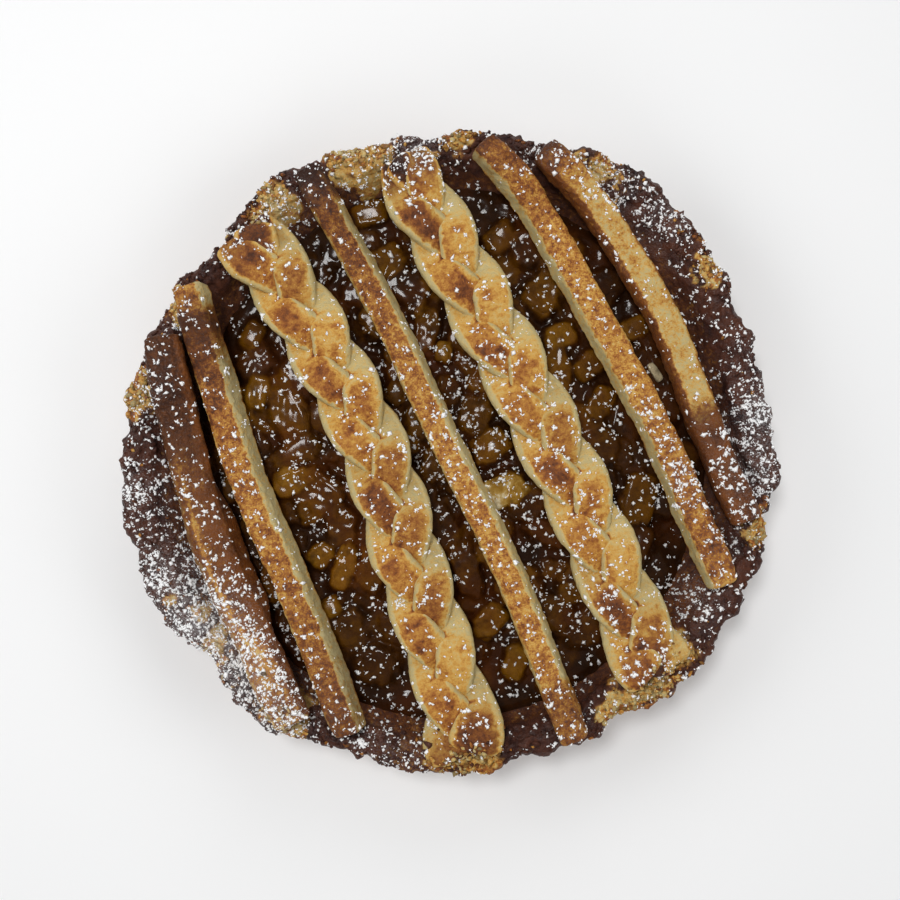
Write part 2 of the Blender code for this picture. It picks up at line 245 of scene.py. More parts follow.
def crust_top(x, y):
    """Height of the crust's upper face over each place, read along that place's bearing."""
    flat_x, flat_y = np.ravel(x), np.ravel(y)
    bearing = np.arctan2(flat_y, flat_x)
    raised = roughened(CRUST_UPPER[:, 0], bearing[:, None], CRUST_UPPER[:, 1])
    radii = np.hypot(raised[..., 0], raised[..., 1])
    tops = [np.interp(*row) for row in zip(np.hypot(flat_x, flat_y), radii, raised[..., 2])]
    return np.reshape(tops, np.shape(x))


print("rim middle", round(float(RIM_X), 2), round(float(RIM_Y), 2))

# %% [markdown]
# Sugar and baking colours follow the place on the pie, not the piece. Sugar fell in uneven showers:
# thickest on the lower left rim, thin over the middle. The rim is dark where juice boiled over it,
# and golden where it broke afterwards. Each shower or patch is a soft round spot with a place, a
# reach and a strength, and the spots are combined so that they never pass one.

# %% Showers of sugar, golden patches and thin juice, in millimetres
SHOWERS = [(-104, -42, 13, .30), (-92, -62, 17, .50), (-76, -80, 15, .42), (-60, -95, 13, .35),
           (-115, -14, 14, .26), (-113, 16, 9, .16), (-101, 50, 8, .12), (-35, 109, 11, .22),
           (-13, 109, 11, .34), (34, 112, 10, .20), (62, 100, 14, .22), (82, 86, 11, .26),
           (99, 62, 10, .14), (110, 38, 10, .18), (114, 14, 13, .40), (112, -8, 12, .30),
           (101, -30, 12, .14), (91, -53, 10, .24), (72, -76, 12, .14), (45, -98, 12, .08),
           (-14, -112, 12, .18), (-32, -104, 10, .18), (-62, 89, 10, .24), (84, -10, 11, .20),
           (70, 12, 10, .12), (36, -8, 22, .07), (50, -45, 20, .06), (18, 30, 16, .06),
           (-85, -20, 14, .06), (-60, -10, 8, .06), (-70, -60, 14, .10), (0, 0, 26, .06),
           (-108, 22, 10, .14), (-80, 76, 9, .12)]
SUGAR_EVERYWHERE = 0.05
SUGAR_AT_MOST = 0.75
GOLDEN = [(-112, 21, 10, .9), (-97, 54, 9, .8), (-65, 89, 10, .9), (-80, 76, 8, .5),
          (-32, 108, 15, .9), (3, 113, 10, .6), (58, 103, 11, .7), (92, 67, 9, .7),
          (112, -30, 9, .8), (70, -85, 13, .85), (82, -75, 8, .75), (58, -94, 7, .7),
          (6, -111, 13, .8), (-14, -109, 7, .38), (-92, -60, 18, .50), (-72, -84, 16, .4),
          (-55, -98, 10, .6)]
THIN_JUICE = [(-6, -112, 24, .45), (75, -72, 30, .25)]


def spots(points, places):
    """Strength of soft round spots at each point: one minus the product of what each leaves free."""
    free = np.ones(points.shape[:-1])
    for x, y, reach, strength in places:
        away = ((points[..., 0] - x) ** 2 + (points[..., 1] - y) ** 2) / reach ** 2
        free = free * (1.0 - strength * np.exp(-away))
    return 1.0 - free


def sugar_cover(points):
    """Share of the surface that sugar covers."""
    return np.clip(SUGAR_EVERYWHERE + spots(points, SHOWERS), 0.0, SUGAR_AT_MOST)


print("sugar in the middle and at the lower left",
      np.round(sugar_cover(np.array([[0.0, 0.0], [-85.0, -70.0]])), 2))

# %% [markdown]
# The crust is one shell, 0 to 36 mm high. Rings of points follow the half section from the middle of
# the floor, up the inner wall, over the lip and down the outside to the middle of the base, with most
# rings on the wall and lip that can be seen. Shortcrust breaks into crumbs, so the points then move
# along their own normals by lumpy noise, and the lip is bitten into by finer noise.

# %% Crust
CRUST_AROUND = 1040
# Steps cut from each leg of the section, rings of the inner side, and one ring halfway up its wall
LEG_STEPS = [3, 8, 12, 11, 9, 8, 7, 4, 3, 9, 6, 6, 4, 2]
INNER_RINGS = 56
ON_WALL = 30
JAG = 2.0


def evenly_along(profile, counts):
    """Places along a profile: each leg is cut into its own number of even steps."""
    places = [profile[:1]]
    for start, end, count in zip(profile[:-1], profile[1:], counts):
        share = np.arange(1, count + 1)[:, None] / count
        places.append(start + (end - start) * share)
    return np.vstack(places)


def bare_crust(points, golden):
    """Share of the crust that is golden and free of juice: the golden patches with a ragged edge."""
    ragged = layered(points, 31, (0.30, 6.0), (0.18, 2.2))
    return eased((golden + ragged - 0.34) / 0.22)


def ring_normals(rings, ring, step):
    """Unit normals of a stack of closed rings, turned so that the one at a place on top looks up."""
    around = np.roll(rings, -1, axis=1) - np.roll(rings, 1, axis=1)
    normal = np.cross(around, np.gradient(rings, axis=0))
    normal = normal / np.maximum(np.linalg.norm(normal, axis=-1, keepdims=True), 1e-9)
    return -normal if normal[ring, step, 2] < 0 else normal


def blocky(values):
    """Noise with its slopes steepened, so that it breaks off rather than rolls."""
    return np.sign(values) * np.abs(values) ** 0.6


def make_crust():
    """The shell's section turned about the middle, its lip jagged outwards and its face grained."""
    profile = np.vstack([CRUST_UPPER[1:], CRUST_LOWER[:-1]])
    section = evenly_along(profile, LEG_STEPS)
    section = np.vstack([[3.0, FLOOR_THICKNESS], section, [3.0, 0.0]])
    bearing = np.linspace(0, 2 * np.pi, CRUST_AROUND, endpoint=False)
    rings = roughened(section[:, None, 0], bearing[None], section[:, None, 1])
    height = rings[..., 2]
    lip = eased((height - LIP_FROM) / LIP_OVER)
    flat = rings * [1, 1, 0.5]
    jag = JAG * lip * (0.55 * blocky(noise(flat, 8.5, 10)) + 0.50 * blocky(noise(flat, 4.2, 11))
                       + 0.40 * blocky(noise(flat, 2.0, 12)) + 0.20 * noise(flat, 1.1, 13) - 0.2)
    outward = rings[..., :2] / np.maximum(np.hypot(rings[..., 0], rings[..., 1]), 1e-9)[..., None]
    rings[..., :2] += outward * jag[..., None]
    normal = ring_normals(rings, ON_WALL, 0)
    inner = (np.arange(len(section)) < INNER_RINGS)[:, None]
    golden = spots(rings, GOLDEN)
    grain = layered(rings, 21, (1.0, 3.0), (0.5, 1.5), (0.25, 0.75)) / 1.75
    pits = np.minimum(noise(rings, 2.1, 24), 0.1)
    crumbs = np.where(inner, 0.55 + 0.6 * golden + 0.35 * lip, 0.5) * eased((height - 2.0) / 6.0)
    rings += normal * ((grain + 0.7 * pits) * crumbs)[..., None]
    rings[..., 2] = np.maximum(rings[..., 2], 0.0)
    rings[-12:, :, 2] = np.where(section[-12:, None, 1] <= 0.0, 0.0, rings[-12:, :, 2])
    points, faces = closed_rings(rings, [[0, 0, FLOOR_THICKNESS]], [[0, 0, 0]])
    crust = add_piece("crust_shell", points, faces)
    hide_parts("crust")
    bare = bare_crust(rings, golden)
    juice = np.where(inner, 1.0 - bare, (1.0 - bare) * eased((height - 18) / 10))
    brown = np.where(inner, 0.66 - 0.45 * bare, 0.52 + 0.10 * eased((height - 20) / 12))
    wall = inner * eased((WALL_TO - height) / WALL_OVER)
    juice = juice * (1 - 0.45 * wall) * (1 - spots(rings, THIN_JUICE))
    brown = brown + 0.20 * grain + 0.12 * wall
    dust = sugar_cover(rings) * (normal[..., 2] > 0.1)
    burnt = (0.30 * lip * (1 - bare) + 0.20 * wall) * inner
    paint_pastry(crust, with_ends(brown, (0.5, 0.45)), with_ends(burnt), with_ends(juice), with_ends(dust))
    return crust


crust = make_crust()
print("crust", triangles_in(crust), "triangles")

# %% [markdown]
# The filling is apple diced by hand and stewed in brown sugar until the juice set to dark syrup. Each
# piece is a die with worn corners, cut 8 to 20 mm long, slightly caved and bulged by stewing. The
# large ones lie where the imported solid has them; smaller ones fill the places between, lower in the
# syrup; and those that the photograph shows clearly lie where it shows them, with their own tones.

# %% Apple pieces
CHUNK_SPACING = 18.2
CHUNK_REACH = 89.0
CHUNK_PULLED_TO = 84.0
CHUNK_LONG = (13.5, 20.5)
CHUNK_WIDE = (9.0, 15.0)
CHUNK_HIGH = (9.0, 12.0)
CHUNK_TOP = (23.5, 26.6)
CHUNK_SEED = 7
CHUNK_WEAR = 5.5
SMALL_SPACING = 12.5
SMALL_REACH = 88.0
LARGE_APART, SMALL_APART = 8.5, 7.5
SHOWN_HEIGHT = 9.5
# Pieces that stand out: place, length, width, turn in degrees, height of the top, tone from dark to pale
SHOWN = [(-74, 43, 11, 8, 60, 25.5, .45), (-72, 22, 13, 9, 80, 25.8, .62), (-59, -11, 14, 10, 20, 26.4, .70),
         (-39, -43, 17, 8, 70, 26.0, .72), (-48, -39, 10, 8, 40, 25.6, .60), (-45, -59, 11, 8, 30, 25.4, .55),
         (-30, 89, 13, 9, 15, 26.0, .50), (-24, 70, 16, 12, 35, 26.2, .48), (-2, 37, 8, 6, 80, 25.4, .75),
         (15, 2, 15, 11, 30, 26.0, .60), (20, -15, 17, 12, 25, 26.6, .92), (15, -63, 14, 10, 50, 26.0, .58),
         (24, -78, 13, 9, 70, 25.8, .66), (19, 80, 14, 10, 40, 26.2, .42), (35, 59, 17, 13, 55, 26.4, .46),
         (41, 43, 12, 9, 15, 25.8, .64), (52, 32, 13, 9, 35, 26.0, .46), (56, 18, 14, 9, 60, 26.0, .44),
         (70, -18, 19, 13, 75, 26.6, .36), (69, 46, 10, 8, 20, 25.4, .62), (-20, 22, 10, 8, 60, 25.0, .40),
         (-33, -14, 11, 9, 20, 25.2, .35), (46, -52, 12, 9, 10, 25.6, .40), (38, -86, 12, 9, 30, 26.0, .45)]


# A pale sliver of fruit lies in the gap beside the far right strip
SLIVER = (76.5, 29.5, [8.0, 3.0, 2.8], -1.0, (0.0, 0.0), 25.0, 1.4)
# Deep dark gaps: place and reach
HOLLOWS = [(-75.5, -29, 6), (-65, -50, 7), (84.5, 3.5, 6), (81, -29, 7)]
HOLLOW_DEPTH = 5.0


def cube_lattice(count):
    """Points of the surface of a cube from -1 to 1, count faces along each side, and its quads."""
    numbers, points, quads = {}, [], []
    for axis in range(3):
        for side in (0, count):
            for u in range(count):
                for v in range(count):
                    loop = []
                    for du, dv in ((0, 0), (1, 0), (1, 1), (0, 1)):
                        key = [0, 0, 0]
                        key[axis], key[(axis + 1) % 3], key[(axis + 2) % 3] = side, u + du, v + dv
                        key = tuple(key)
                        if key not in numbers:
                            numbers[key] = len(points)
                            points.append([2.0 * part / count - 1.0 for part in key])
                        loop.append(numbers[key])
                    quads.append(loop if side else loop[::-1])
    return np.array(points), np.array(quads)


def chunk_places():
    """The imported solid's places: a close-packed grid, each place shaken by a seeded draw."""
    draw = np.random.RandomState(CHUNK_SEED)
    rows = int(CHUNK_REACH / (CHUNK_SPACING * 0.866)) + 1
    for row in range(-rows, rows + 1):
        for column in range(-rows, rows + 1):
            shake = draw.uniform(-0.22, 0.22, 2) * CHUNK_SPACING
            x = (column + 0.5 * (row % 2)) * CHUNK_SPACING + shake[0]
            y = row * CHUNK_SPACING * 0.866 + shake[1]
            size = [draw.uniform(*CHUNK_LONG), draw.uniform(*CHUNK_WIDE), draw.uniform(*CHUNK_HIGH)]
            turn = draw.uniform(0, np.pi)
            lean = np.radians(draw.uniform(-14, 14, 2))
            top = draw.uniform(*CHUNK_TOP)
            radius = np.hypot(x, y)
            pull = min(1.0, CHUNK_PULLED_TO / max(radius, 1.0))
            if radius < CHUNK_REACH:
                yield x * pull, y * pull, size, turn, lean, top


def spun(lean_x, lean_y, turn):
    """Rotation matrix: about X, then Y, then Z."""
    a, b, c = (np.cos(angle) for angle in (lean_x, lean_y, turn))
    d, e, f = (np.sin(angle) for angle in (lean_x, lean_y, turn))
    about_x = np.array([[1, 0, 0], [0, a, -d], [0, d, a]])
    about_y = np.array([[b, 0, e], [0, 1, 0], [-e, 0, b]])
    about_z = np.array([[c, -f, 0], [f, c, 0], [0, 0, 1]])
    return about_z @ about_y @ about_x


def stewed_die(lattice, x, y, size, turn, lean, top, seed):
    """A die with worn corners: the lattice on a power surface, bulged by noise, leaning, under top."""
    wear = (np.abs(lattice) ** CHUNK_WEAR).sum(axis=1) ** (1 / CHUNK_WEAR)
    body = lattice / wear[:, None] * np.array(size) / 2
    body = body * (1 + 0.10 * noise(body + seed * 37.0, 6.0, seed)[:, None])
    body = body * (1 + 0.04 * noise(body + seed * 11.0, 2.4, seed + 1)[:, None])
    body = body @ spun(lean[0], lean[1], turn).T
    return body + [x, y, top - body[:, 2].max()]


def darker_towards_right(x):
    """Share of a piece's tone that is left: pieces towards the right are darker."""
    return 1.0 - 0.45 * eased((x - 38) / 20)


def all_chunks():
    """Places, sizes and tones of every apple piece: shown ones first, and no two crowded together."""
    draw = np.random.RandomState(3)
    kept = []
    for x, y, length, width, turn, top, tone in SHOWN:
        lean = np.radians(draw.uniform(-10, 10, 2))
        kept.append((x, y, [length, width, SHOWN_HEIGHT], np.radians(turn), lean, top, tone))
    for x, y, size, turn, lean, top in chunk_places():
        if min(np.hypot(x - other[0], y - other[1]) for other in kept) > LARGE_APART:
            kept.append((x, y, size, turn, lean, top, draw.uniform(0.12, 0.52) * darker_towards_right(x)))
    rows = int(90 / (SMALL_SPACING * 0.866)) + 1
    for row in range(-rows, rows + 1):
        for column in range(-rows, rows + 1):
            x = (column + 0.5 * (row % 2)) * SMALL_SPACING + draw.uniform(-2.2, 2.2)
            y = row * SMALL_SPACING * 0.866 + draw.uniform(-2.2, 2.2)
            size = [draw.uniform(9, 15), draw.uniform(7, 11), draw.uniform(6, 8.5)]
            turn, lean = draw.uniform(0, np.pi), np.radians(draw.uniform(-25, 25, 2))
            top, tone = draw.uniform(22.6, 24.6), draw.uniform(0.05, 0.42) * darker_towards_right(x)
            near = min(np.hypot(x - other[0], y - other[1]) for other in kept + HOLLOWS)
            if near > SMALL_APART and np.hypot(x, y) < SMALL_REACH:
                kept.append((x, y, size, turn, lean, top, tone))
    return kept


def make_chunks(places):
    """Every apple piece as a stewed die, all in one mesh, paler towards its top."""
    lattice, quads = cube_lattice(6)
    points, faces, tones = [], [], []
    for seed, (x, y, size, turn, lean, top, tone) in enumerate(places):
        body = stewed_die(lattice, x, y, size, turn, lean, top, seed + 50)
        faces.append(quads + len(points) * len(lattice))
        points.append(body)
        bare = eased((body[:, 2] - top + 2.6) / 2.2)
        tones.append(tone * (0.55 + 0.45 * bare))
    chunks = add_piece("apple_chunks", np.vstack(points), np.vstack(faces))
    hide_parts("apple_filling")
    paint(chunks, "tone", np.concatenate(tones))
    return chunks


apple_places = all_chunks()
chunks = make_chunks(apple_places + [SLIVER])
print("apple pieces", len(apple_places), "with", triangles_in(chunks), "triangles")

# %% [markdown]
# The syrup is a closed body that fills the shell up to a low wavy level. It is thick, so it climbs
# the side of every piece of apple almost to its top, and leaves only the crown bare; over the edge of
# a piece it is thin and the apple's amber shows through. Its upper face is a polar grid with ripples.

# %% Syrup
GAP = 0.35
FILLING_EDGE = 19.0
FILLING_EDGE_RISE = 4.0
FILLING_MIDDLE = 20.0
SYRUP_AROUND = 560
SYRUP_RINGS = 160
CLING = 0.5
CLIMB_DEPTH = 4.2
CLIMB_ROUNDING = 1.4
TOPPED_UP = 1.4


def filling_level(x, y):
    """Height of the syrup: low waves, lower at the wall to the left and right."""
    radius = np.hypot(x, y)
    edge = FILLING_EDGE + FILLING_EDGE_RISE * np.sin(np.arctan2(y, x)) ** 2
    inward = eased((96.0 - radius) / 30.0)
    waves = 0.8 * np.sin(x / 11.0 + 1.0) * np.sin(y / 13.0)
    return edge + (FILLING_MIDDLE - edge) * inward + waves * inward


def wall_radius(height):
    """Radius of the crust's inner wall at a height, below where the rim is broken."""
    walls = CRUST_UPPER[1:6]
    return np.interp(height, walls[:, 1], walls[:, 0])


def climbing(x, y, level, places):
    """The syrup's height where it climbs the apple, and the apple's tone that shows through it.

    A piece's own distance is 1 at its outline. The climb is full inside 0.8 of it and gone at 1.5,
    and joins the level by a rounded step.
    """
    height, shown = level.copy(), np.zeros(level.shape)
    ragged = layered(field(x, y), 45, (0.16, 3.6), (0.10, 1.7))
    for middle_x, middle_y, size, turn, _, top, tone in places:
        near = np.hypot(x - middle_x, y - middle_y) < 0.8 * size[0] + 2
        dx, dy = x[near] - middle_x, y[near] - middle_y
        u = np.abs(dx * np.cos(turn) + dy * np.sin(turn)) / (size[0] / 2)
        v = np.abs(dy * np.cos(turn) - dx * np.sin(turn)) / (size[1] / 2)
        away = (u ** 3 + v ** 3) ** (1 / 3) + ragged[near]
        climb = top - CLING - CLIMB_DEPTH * eased((away - 0.80) / 0.70)
        share = np.clip(0.5 + 0.5 * (climb - height[near]) / CLIMB_ROUNDING, 0, 1)
        height[near] = height[near] * (1 - share) + climb * share + CLIMB_ROUNDING * share * (1 - share)
        shown[near] = np.maximum(shown[near], tone * eased((1.22 - away) / 0.42))
    return height, shown


def make_syrup(places):
    """Rings from the middle to the wall at the filling's level, then down the wall and under."""
    bearing = np.linspace(0, 2 * np.pi, SYRUP_AROUND, endpoint=False)
    edge_height = FILLING_EDGE + FILLING_EDGE_RISE * np.sin(bearing) ** 2
    reach = wall_radius(edge_height) + 0.15
    share = (np.arange(1, SYRUP_RINGS + 1) / SYRUP_RINGS)[:, None]
    x, y = share * reach * np.cos(bearing), share * reach * np.sin(bearing)
    flat = field(x, y)
    inside = eased((1.0 - share) / 0.04)
    lumps = layered(flat, 41, (0.8, 9.0), (0.35, 3.6), (0.12, 1.5))
    height, shown = climbing(x, y, filling_level(x, y) + inside * (lumps + TOPPED_UP) - 0.3, places)
    height = height + 0.22 * inside * noise(flat, 2.2, 44)
    sunk = spots(flat, [(*hollow, 0.9) for hollow in HOLLOWS])
    height, shown = height - HOLLOW_DEPTH * sunk, shown * (1 - sunk)
    top = field(x, y, height)
    lower = []
    for level in (14.0, 8.0 + GAP, FLOOR_THICKNESS + GAP):
        radius = wall_radius(level - GAP) - GAP
        lower.append(field(radius * np.cos(bearing), radius * np.sin(bearing), level))
    foot = [field(radius * np.cos(bearing), radius * np.sin(bearing), FLOOR_THICKNESS + GAP)
            for radius in (50.0, 20.0, 3.0)]
    rings = np.concatenate([top, np.array(lower + foot)])
    middle = [[0, 0, float(top[0, :, 2].mean())]]
    points, faces = closed_rings(rings, middle, [[0, 0, FLOOR_THICKNESS + GAP]])
    syrup = add_piece("apple_syrup", points, faces)
    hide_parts("apple_filling")
    tone = np.concatenate([shown.ravel() * 0.95, np.zeros(6 * SYRUP_AROUND + 2)])
    paint(syrup, "tone", tone)
    return syrup


syrup = make_syrup(apple_places)
print("syrup", triangles_in(syrup), "triangles")

# %% [markdown]
# The strips were cut 12 to 15 mm wide from rolled dough and laid slantwise over the filling. Each one
# sags on the filling and climbs the wall to rest on the rim at both ends, so its height is worked out
# from the crust below it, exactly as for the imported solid, and then read off at many more places.

# %% Routes of the strips and plaits, in millimetres
SAG_BOTTOM = 27.4
REST_GAP = 0.6
STRIP_STEPS = 20
STRIP_SIDES = 8
STRIP_END = 12.0
STRIP_BLUNTNESS = 0.6
EASING = 4
STRIPS = {
    "strip_far_left": ([(-103.5, 41), (-96, 2), (-84.5, -38), (-68, -72), (-55, -97.5)], 14.8, 9.5, -18),
    "strip_left": ([(-93, 59), (-85.8, 30), (-73, -11), (-54.3, -54), (-34.5, -101)], 13.6, 10.0, 0),
    "strip_middle": ([(-52, 102), (-25, 54), (-1, 3), (23, -47), (45, -103)], 12.2, 9.5, 0),
    "strip_right": ([(11, 110), (29.5, 90), (54, 47), (76.5, 4), (97.5, -49)], 12.5, 10.0, 0),
    "strip_far_right": ([(33, 108), (55, 85.5), (77, 49.5), (89.5, 17.5), (97, -3), (106, -26)],
                        12.8, 9.5, 12),
}
PLAITS = {
    "braid_left": ([(-74, 79), (-52, 47), (-28, 1), (-14, -42), (0, -84), (8, -108)], 24.8, 8.1),
    "braid_right": ([(-18, 106), (-2, 76), (22, 32), (45, -14), (63, -56), (74, -80)], 26.0, 19.8),
}
STRAND_WIDTH = 13.4
STRAND_THICKNESS = 7.0
STRAND_SWING = 6.6
STRAND_RISE = 3.1
STRAND_STEPS = 37
STRAND_SIDES = 7
STRAND_END = 16.0
STRAND_BLUNTNESS = 0.7
PLAIT_END = 20.0


def smooth_route(points, count):
    """Even places along a smooth curve that passes through the given points."""
    given = np.array(points, float)
    padded = np.vstack([2 * given[0] - given[1], given, 2 * given[-1] - given[-2]])
    fine = []
    for leg in range(len(given) - 1):
        before, start, end, after = padded[leg:leg + 4]
        for share in np.linspace(0, 1, 24, endpoint=False):
            fine.append(0.5 * (2 * start + (end - before) * share
                               + (2 * before - 5 * start + 4 * end - after) * share ** 2
                               + (3 * start - before - 3 * end + after) * share ** 3))
    fine.append(given[-1])
    fine = np.array(fine)
    run = np.concatenate([[0], np.cumsum(np.hypot(*np.diff(fine, axis=0).T))])
    even = np.linspace(0, run[-1], count)
    return np.stack([np.interp(even, run, fine[:, 0]), np.interp(even, run, fine[:, 1])], 1)


def sideways(route):
    """Unit vectors across a route, to its left."""
    along = np.gradient(route, axis=0)
    along /= np.linalg.norm(along, axis=1)[:, None]
    return np.stack([-along[:, 1], along[:, 0]], 1)


def resting_height(route, reaches, depths):
    """Height of a strip's middle line: low over the filling, and on the rim at both ends.

    Corners, the middles of the edges between them and the places halfway to the next section all
    stay the resting gap above the crust.
    """
    reaches = np.hstack([reaches, (reaches + np.roll(reaches, -1, axis=1)) / 2])
    depths = np.hstack([depths, (depths + np.roll(depths, -1, axis=1)) / 2])
    places = route[:, None] + sideways(route)[:, None] * reaches[..., None]
    between = (places[1:] + places[:-1]) / 2
    support = crust_top(places[..., 0], places[..., 1])
    ridge = crust_top(between[..., 0], between[..., 1])
    support[1:] = np.maximum(support[1:], ridge)
    support[:-1] = np.maximum(support[:-1], ridge)
    wanted = (np.maximum(support + REST_GAP, SAG_BOTTOM) - depths).max(axis=1)
    settled = wanted.copy()
    for _ in range(EASING):
        spread = np.convolve(np.pad(settled, 1, mode="edge"), [0.25, 0.5, 0.25], "valid")
        settled = np.maximum(wanted, spread)
    return settled


def rounded_oblong(width, thickness, sides, bluntness):
    """Corners of a rounded oblong, as reaches to the left and heights above its middle."""
    turn = (np.arange(sides) + 0.5) * 2 * np.pi / sides
    reach = np.sign(np.cos(turn)) * np.abs(np.cos(turn)) ** bluntness * width / 2
    height = np.sign(np.sin(turn)) * np.abs(np.sin(turn)) ** bluntness * thickness / 2
    return reach, height


def end_taper(count, run, blunt):
    """Size of a bar along its length: full in the middle and rounded off near each end."""
    along = np.linspace(0, run, count)
    return 0.72 + 0.28 * np.sqrt(np.clip(np.minimum(along, run - along) / blunt, 0, 1))


def route_length(route):
    """The sum of a route's steps."""
    return np.hypot(*np.diff(route, axis=0).T).sum()


def read_off(values, count):
    """The values at even places along a strip, read off at more places and smoothed over one step."""
    fine = np.interp(np.linspace(0, 1, count), np.linspace(0, 1, len(values)), values)
    window = count // len(values)
    padded = np.pad(fine, window // 2, mode="edge")
    return np.convolve(padded, np.full(window, 1 / window), "valid")[:count]


def rounded_off(count, run, reach=2.2):
    """Size of a bar in its last few millimetres: a quarter circle that closes each end."""
    along = np.linspace(0, run, count)
    near = np.clip(np.minimum(along, run - along) / reach, 0, 1)
    return np.sqrt(1.0 - (1.0 - near) ** 2) * 0.93 + 0.07


def swept(path, reach, height):
    """Rings of points round a path: reach to its left and height along its tilted upward side."""
    along = np.gradient(path, axis=0)
    along /= np.linalg.norm(along, axis=1)[:, None]
    left = np.stack([-along[:, 1], along[:, 0], np.zeros(len(path))], 1)
    left /= np.linalg.norm(left, axis=1)[:, None]
    upward = np.cross(along, left)
    return path[:, None] + left[:, None] * reach[..., None] + upward[:, None] * height[..., None]


print("middle strip", round(route_length(smooth_route(STRIPS["strip_middle"][0], 60)), 1), "mm long")

# %% [markdown]
# A baked strip is domed and blistered on top, and its cut sides show pale layers of dough. Its colour
# runs along it: burnt where it lies on the hot rim, orange brown over the filling. Across it, the side
# that faced away from the heat stays cream. Each strip has a short table of tones along its length
# and a tone for each of its two edges.

# %% Straight strips
FINE_STEPS = 400
FINE_SIDES = 56
CUT_BLUNTNESS = 0.44
FLANK_SPREAD = 4.0
# Share of the length, brownness, burning, dried juice
ALONG = {
    "strip_far_left": [(0, .90, .95, .4), (.20, .88, .85, .4), (.32, .70, .30, .5), (.5, .67, .10, .6),
                       (.65, .67, .06, .6), (.8, .58, .0, .4), (1, .60, .20, .2)],
    "strip_left": [(0, .48, .05, 0), (.04, .58, .20, .1), (.07, .80, .52, .3), (.13, .78, .36, .2),
                   (.22, .66, .18, .1), (.32, .58, .06, 0), (.6, .54, .05, 0),
                   (.8, .62, .15, .15), (1, .72, .30, .3)],
    "strip_middle": [(0, .88, .75, .1), (.08, .70, .30, 0), (.25, .58, .10, 0), (.5, .50, .03, 0),
                     (.75, .48, .02, 0), (.90, .52, .04, 0), (.92, .62, .24, 0), (1, .60, .22, .1)],
    "strip_right": [(0, .72, .30, .2), (.1, .58, .08, .1), (.25, .48, .02, 0), (.6, .48, .02, 0),
                    (.80, .60, .10, 0), (.97, .62, .10, .1), (1, .40, .0, 0)],
    "strip_far_right": [(0, .80, .50, .3), (.07, .60, .15, .1), (.13, .28, .07, 0), (.68, .18, .08, 0),
                        (.74, .58, .15, .7), (.82, .78, .30, 1), (1, .80, .35, 1)],
}
# Across, from -1 at the left edge to 1 at the right: where each edge's tone ends and the middle's
# begins, the two edges' own brownness, and how much narrower the top is at the left and the right
ACROSS = {
    "strip_far_left": (-.99, -.86, .30, .52, .34, .72, 0, .10),
    "strip_left": (-.97, -.86, .36, .46, .24, .02, .02, .38),
    "strip_middle": (-.96, -.80, .34, .44, .20, .01, .02, .40),
    "strip_right": (-.70, -.58, .88, .98, .03, .44, .30, .02),
    "strip_far_right": (-.50, -.30, .86, .98, .70, .56, .30, .02),
}


def leant(across, above, lean):
    """A section's reaches and heights, turned about its middle by an angle."""
    return across * np.cos(lean) - above * np.sin(lean), across * np.sin(lean) + above * np.cos(lean)


def strip_path(name):
    """Middle line, fatness and closed ends of a strip, worked out as for its solid and read off finely."""
    points, width, thickness, roll = STRIPS[name]
    route = smooth_route(points, STRIP_STEPS)
    run = route_length(route)
    wobble = 1 + 0.04 * np.sin(np.arange(STRIP_STEPS) * 1.9 + width)
    fatness = end_taper(STRIP_STEPS, run, STRIP_END) * wobble
    reach, depth = leant(*rounded_oblong(width, thickness, STRIP_SIDES, STRIP_BLUNTNESS), np.radians(roll))
    height = resting_height(route, np.outer(fatness, reach), np.outer(fatness, depth))
    path = np.column_stack([smooth_route(points, FINE_STEPS), read_off(height, FINE_STEPS)])
    return path, read_off(fatness, FINE_STEPS)[:, None], rounded_off(FINE_STEPS, run, 1.4)[:, None]


def strip_tones(name, rings, u, crown, spread, seed):
    """Brownness, burning and dried juice at each point of a strip, from its two tables."""
    left_out, left_in, right_in, right_out, left_tone, right_tone = ACROSS[name][:6]
    share = np.linspace(0, 1, FINE_STEPS)[:, None]
    table = np.array(ALONG[name], float)
    middle, burnt, juice = (np.interp(share, table[:, 0], table[:, column]) * np.ones(u.shape)
                            for column in (1, 2, 3))
    shake = layered(rings, seed, (0.07, 4.0), (0.09, 1.2))
    from_left = eased((u + shake - left_out) / (left_in - left_out))
    from_right = eased((right_out - u - 0.7 * spread + shake) / (right_out - right_in))
    brown = middle * from_left * from_right + left_tone * (1 - from_left) + right_tone * (1 - from_right)
    brown = np.maximum(brown, 0.85 * middle * eased((burnt - 0.20) / 0.25))
    brown = brown + layered(rings, seed + 2, (0.10, 2.4), (0.06, 1.1))
    soaked = eased((-0.40 - crown + shake) / 0.35)
    brown = brown * (1 - soaked) + 0.78 * soaked
    juice = np.maximum(juice, 0.5 * soaked)
    if name == "strip_middle":
        brown = np.maximum(brown, 0.56 * eased((share - 0.90) / 0.02))
    if name == "strip_far_left":
        length_of_crest = eased((share - 0.27) / 0.06) * eased((0.92 - share) / 0.06)
        middle_of_crest = -0.60 + 0.40 * eased((share - 0.70) / 0.15)
        half_width = 0.13 + 0.15 * eased((share - 0.70) / 0.15)
        crest = np.exp(-((u - middle_of_crest + shake) / half_width) ** 2) * length_of_crest
        brown = brown - 0.26 * crest
        juice = np.maximum(juice, 0.75 * (1 - from_right)) * (1 - 0.9 * crest)
    if name == "strip_far_right":
        juice = np.maximum(juice, 0.55 * (1 - from_left))
    return brown, burnt, juice


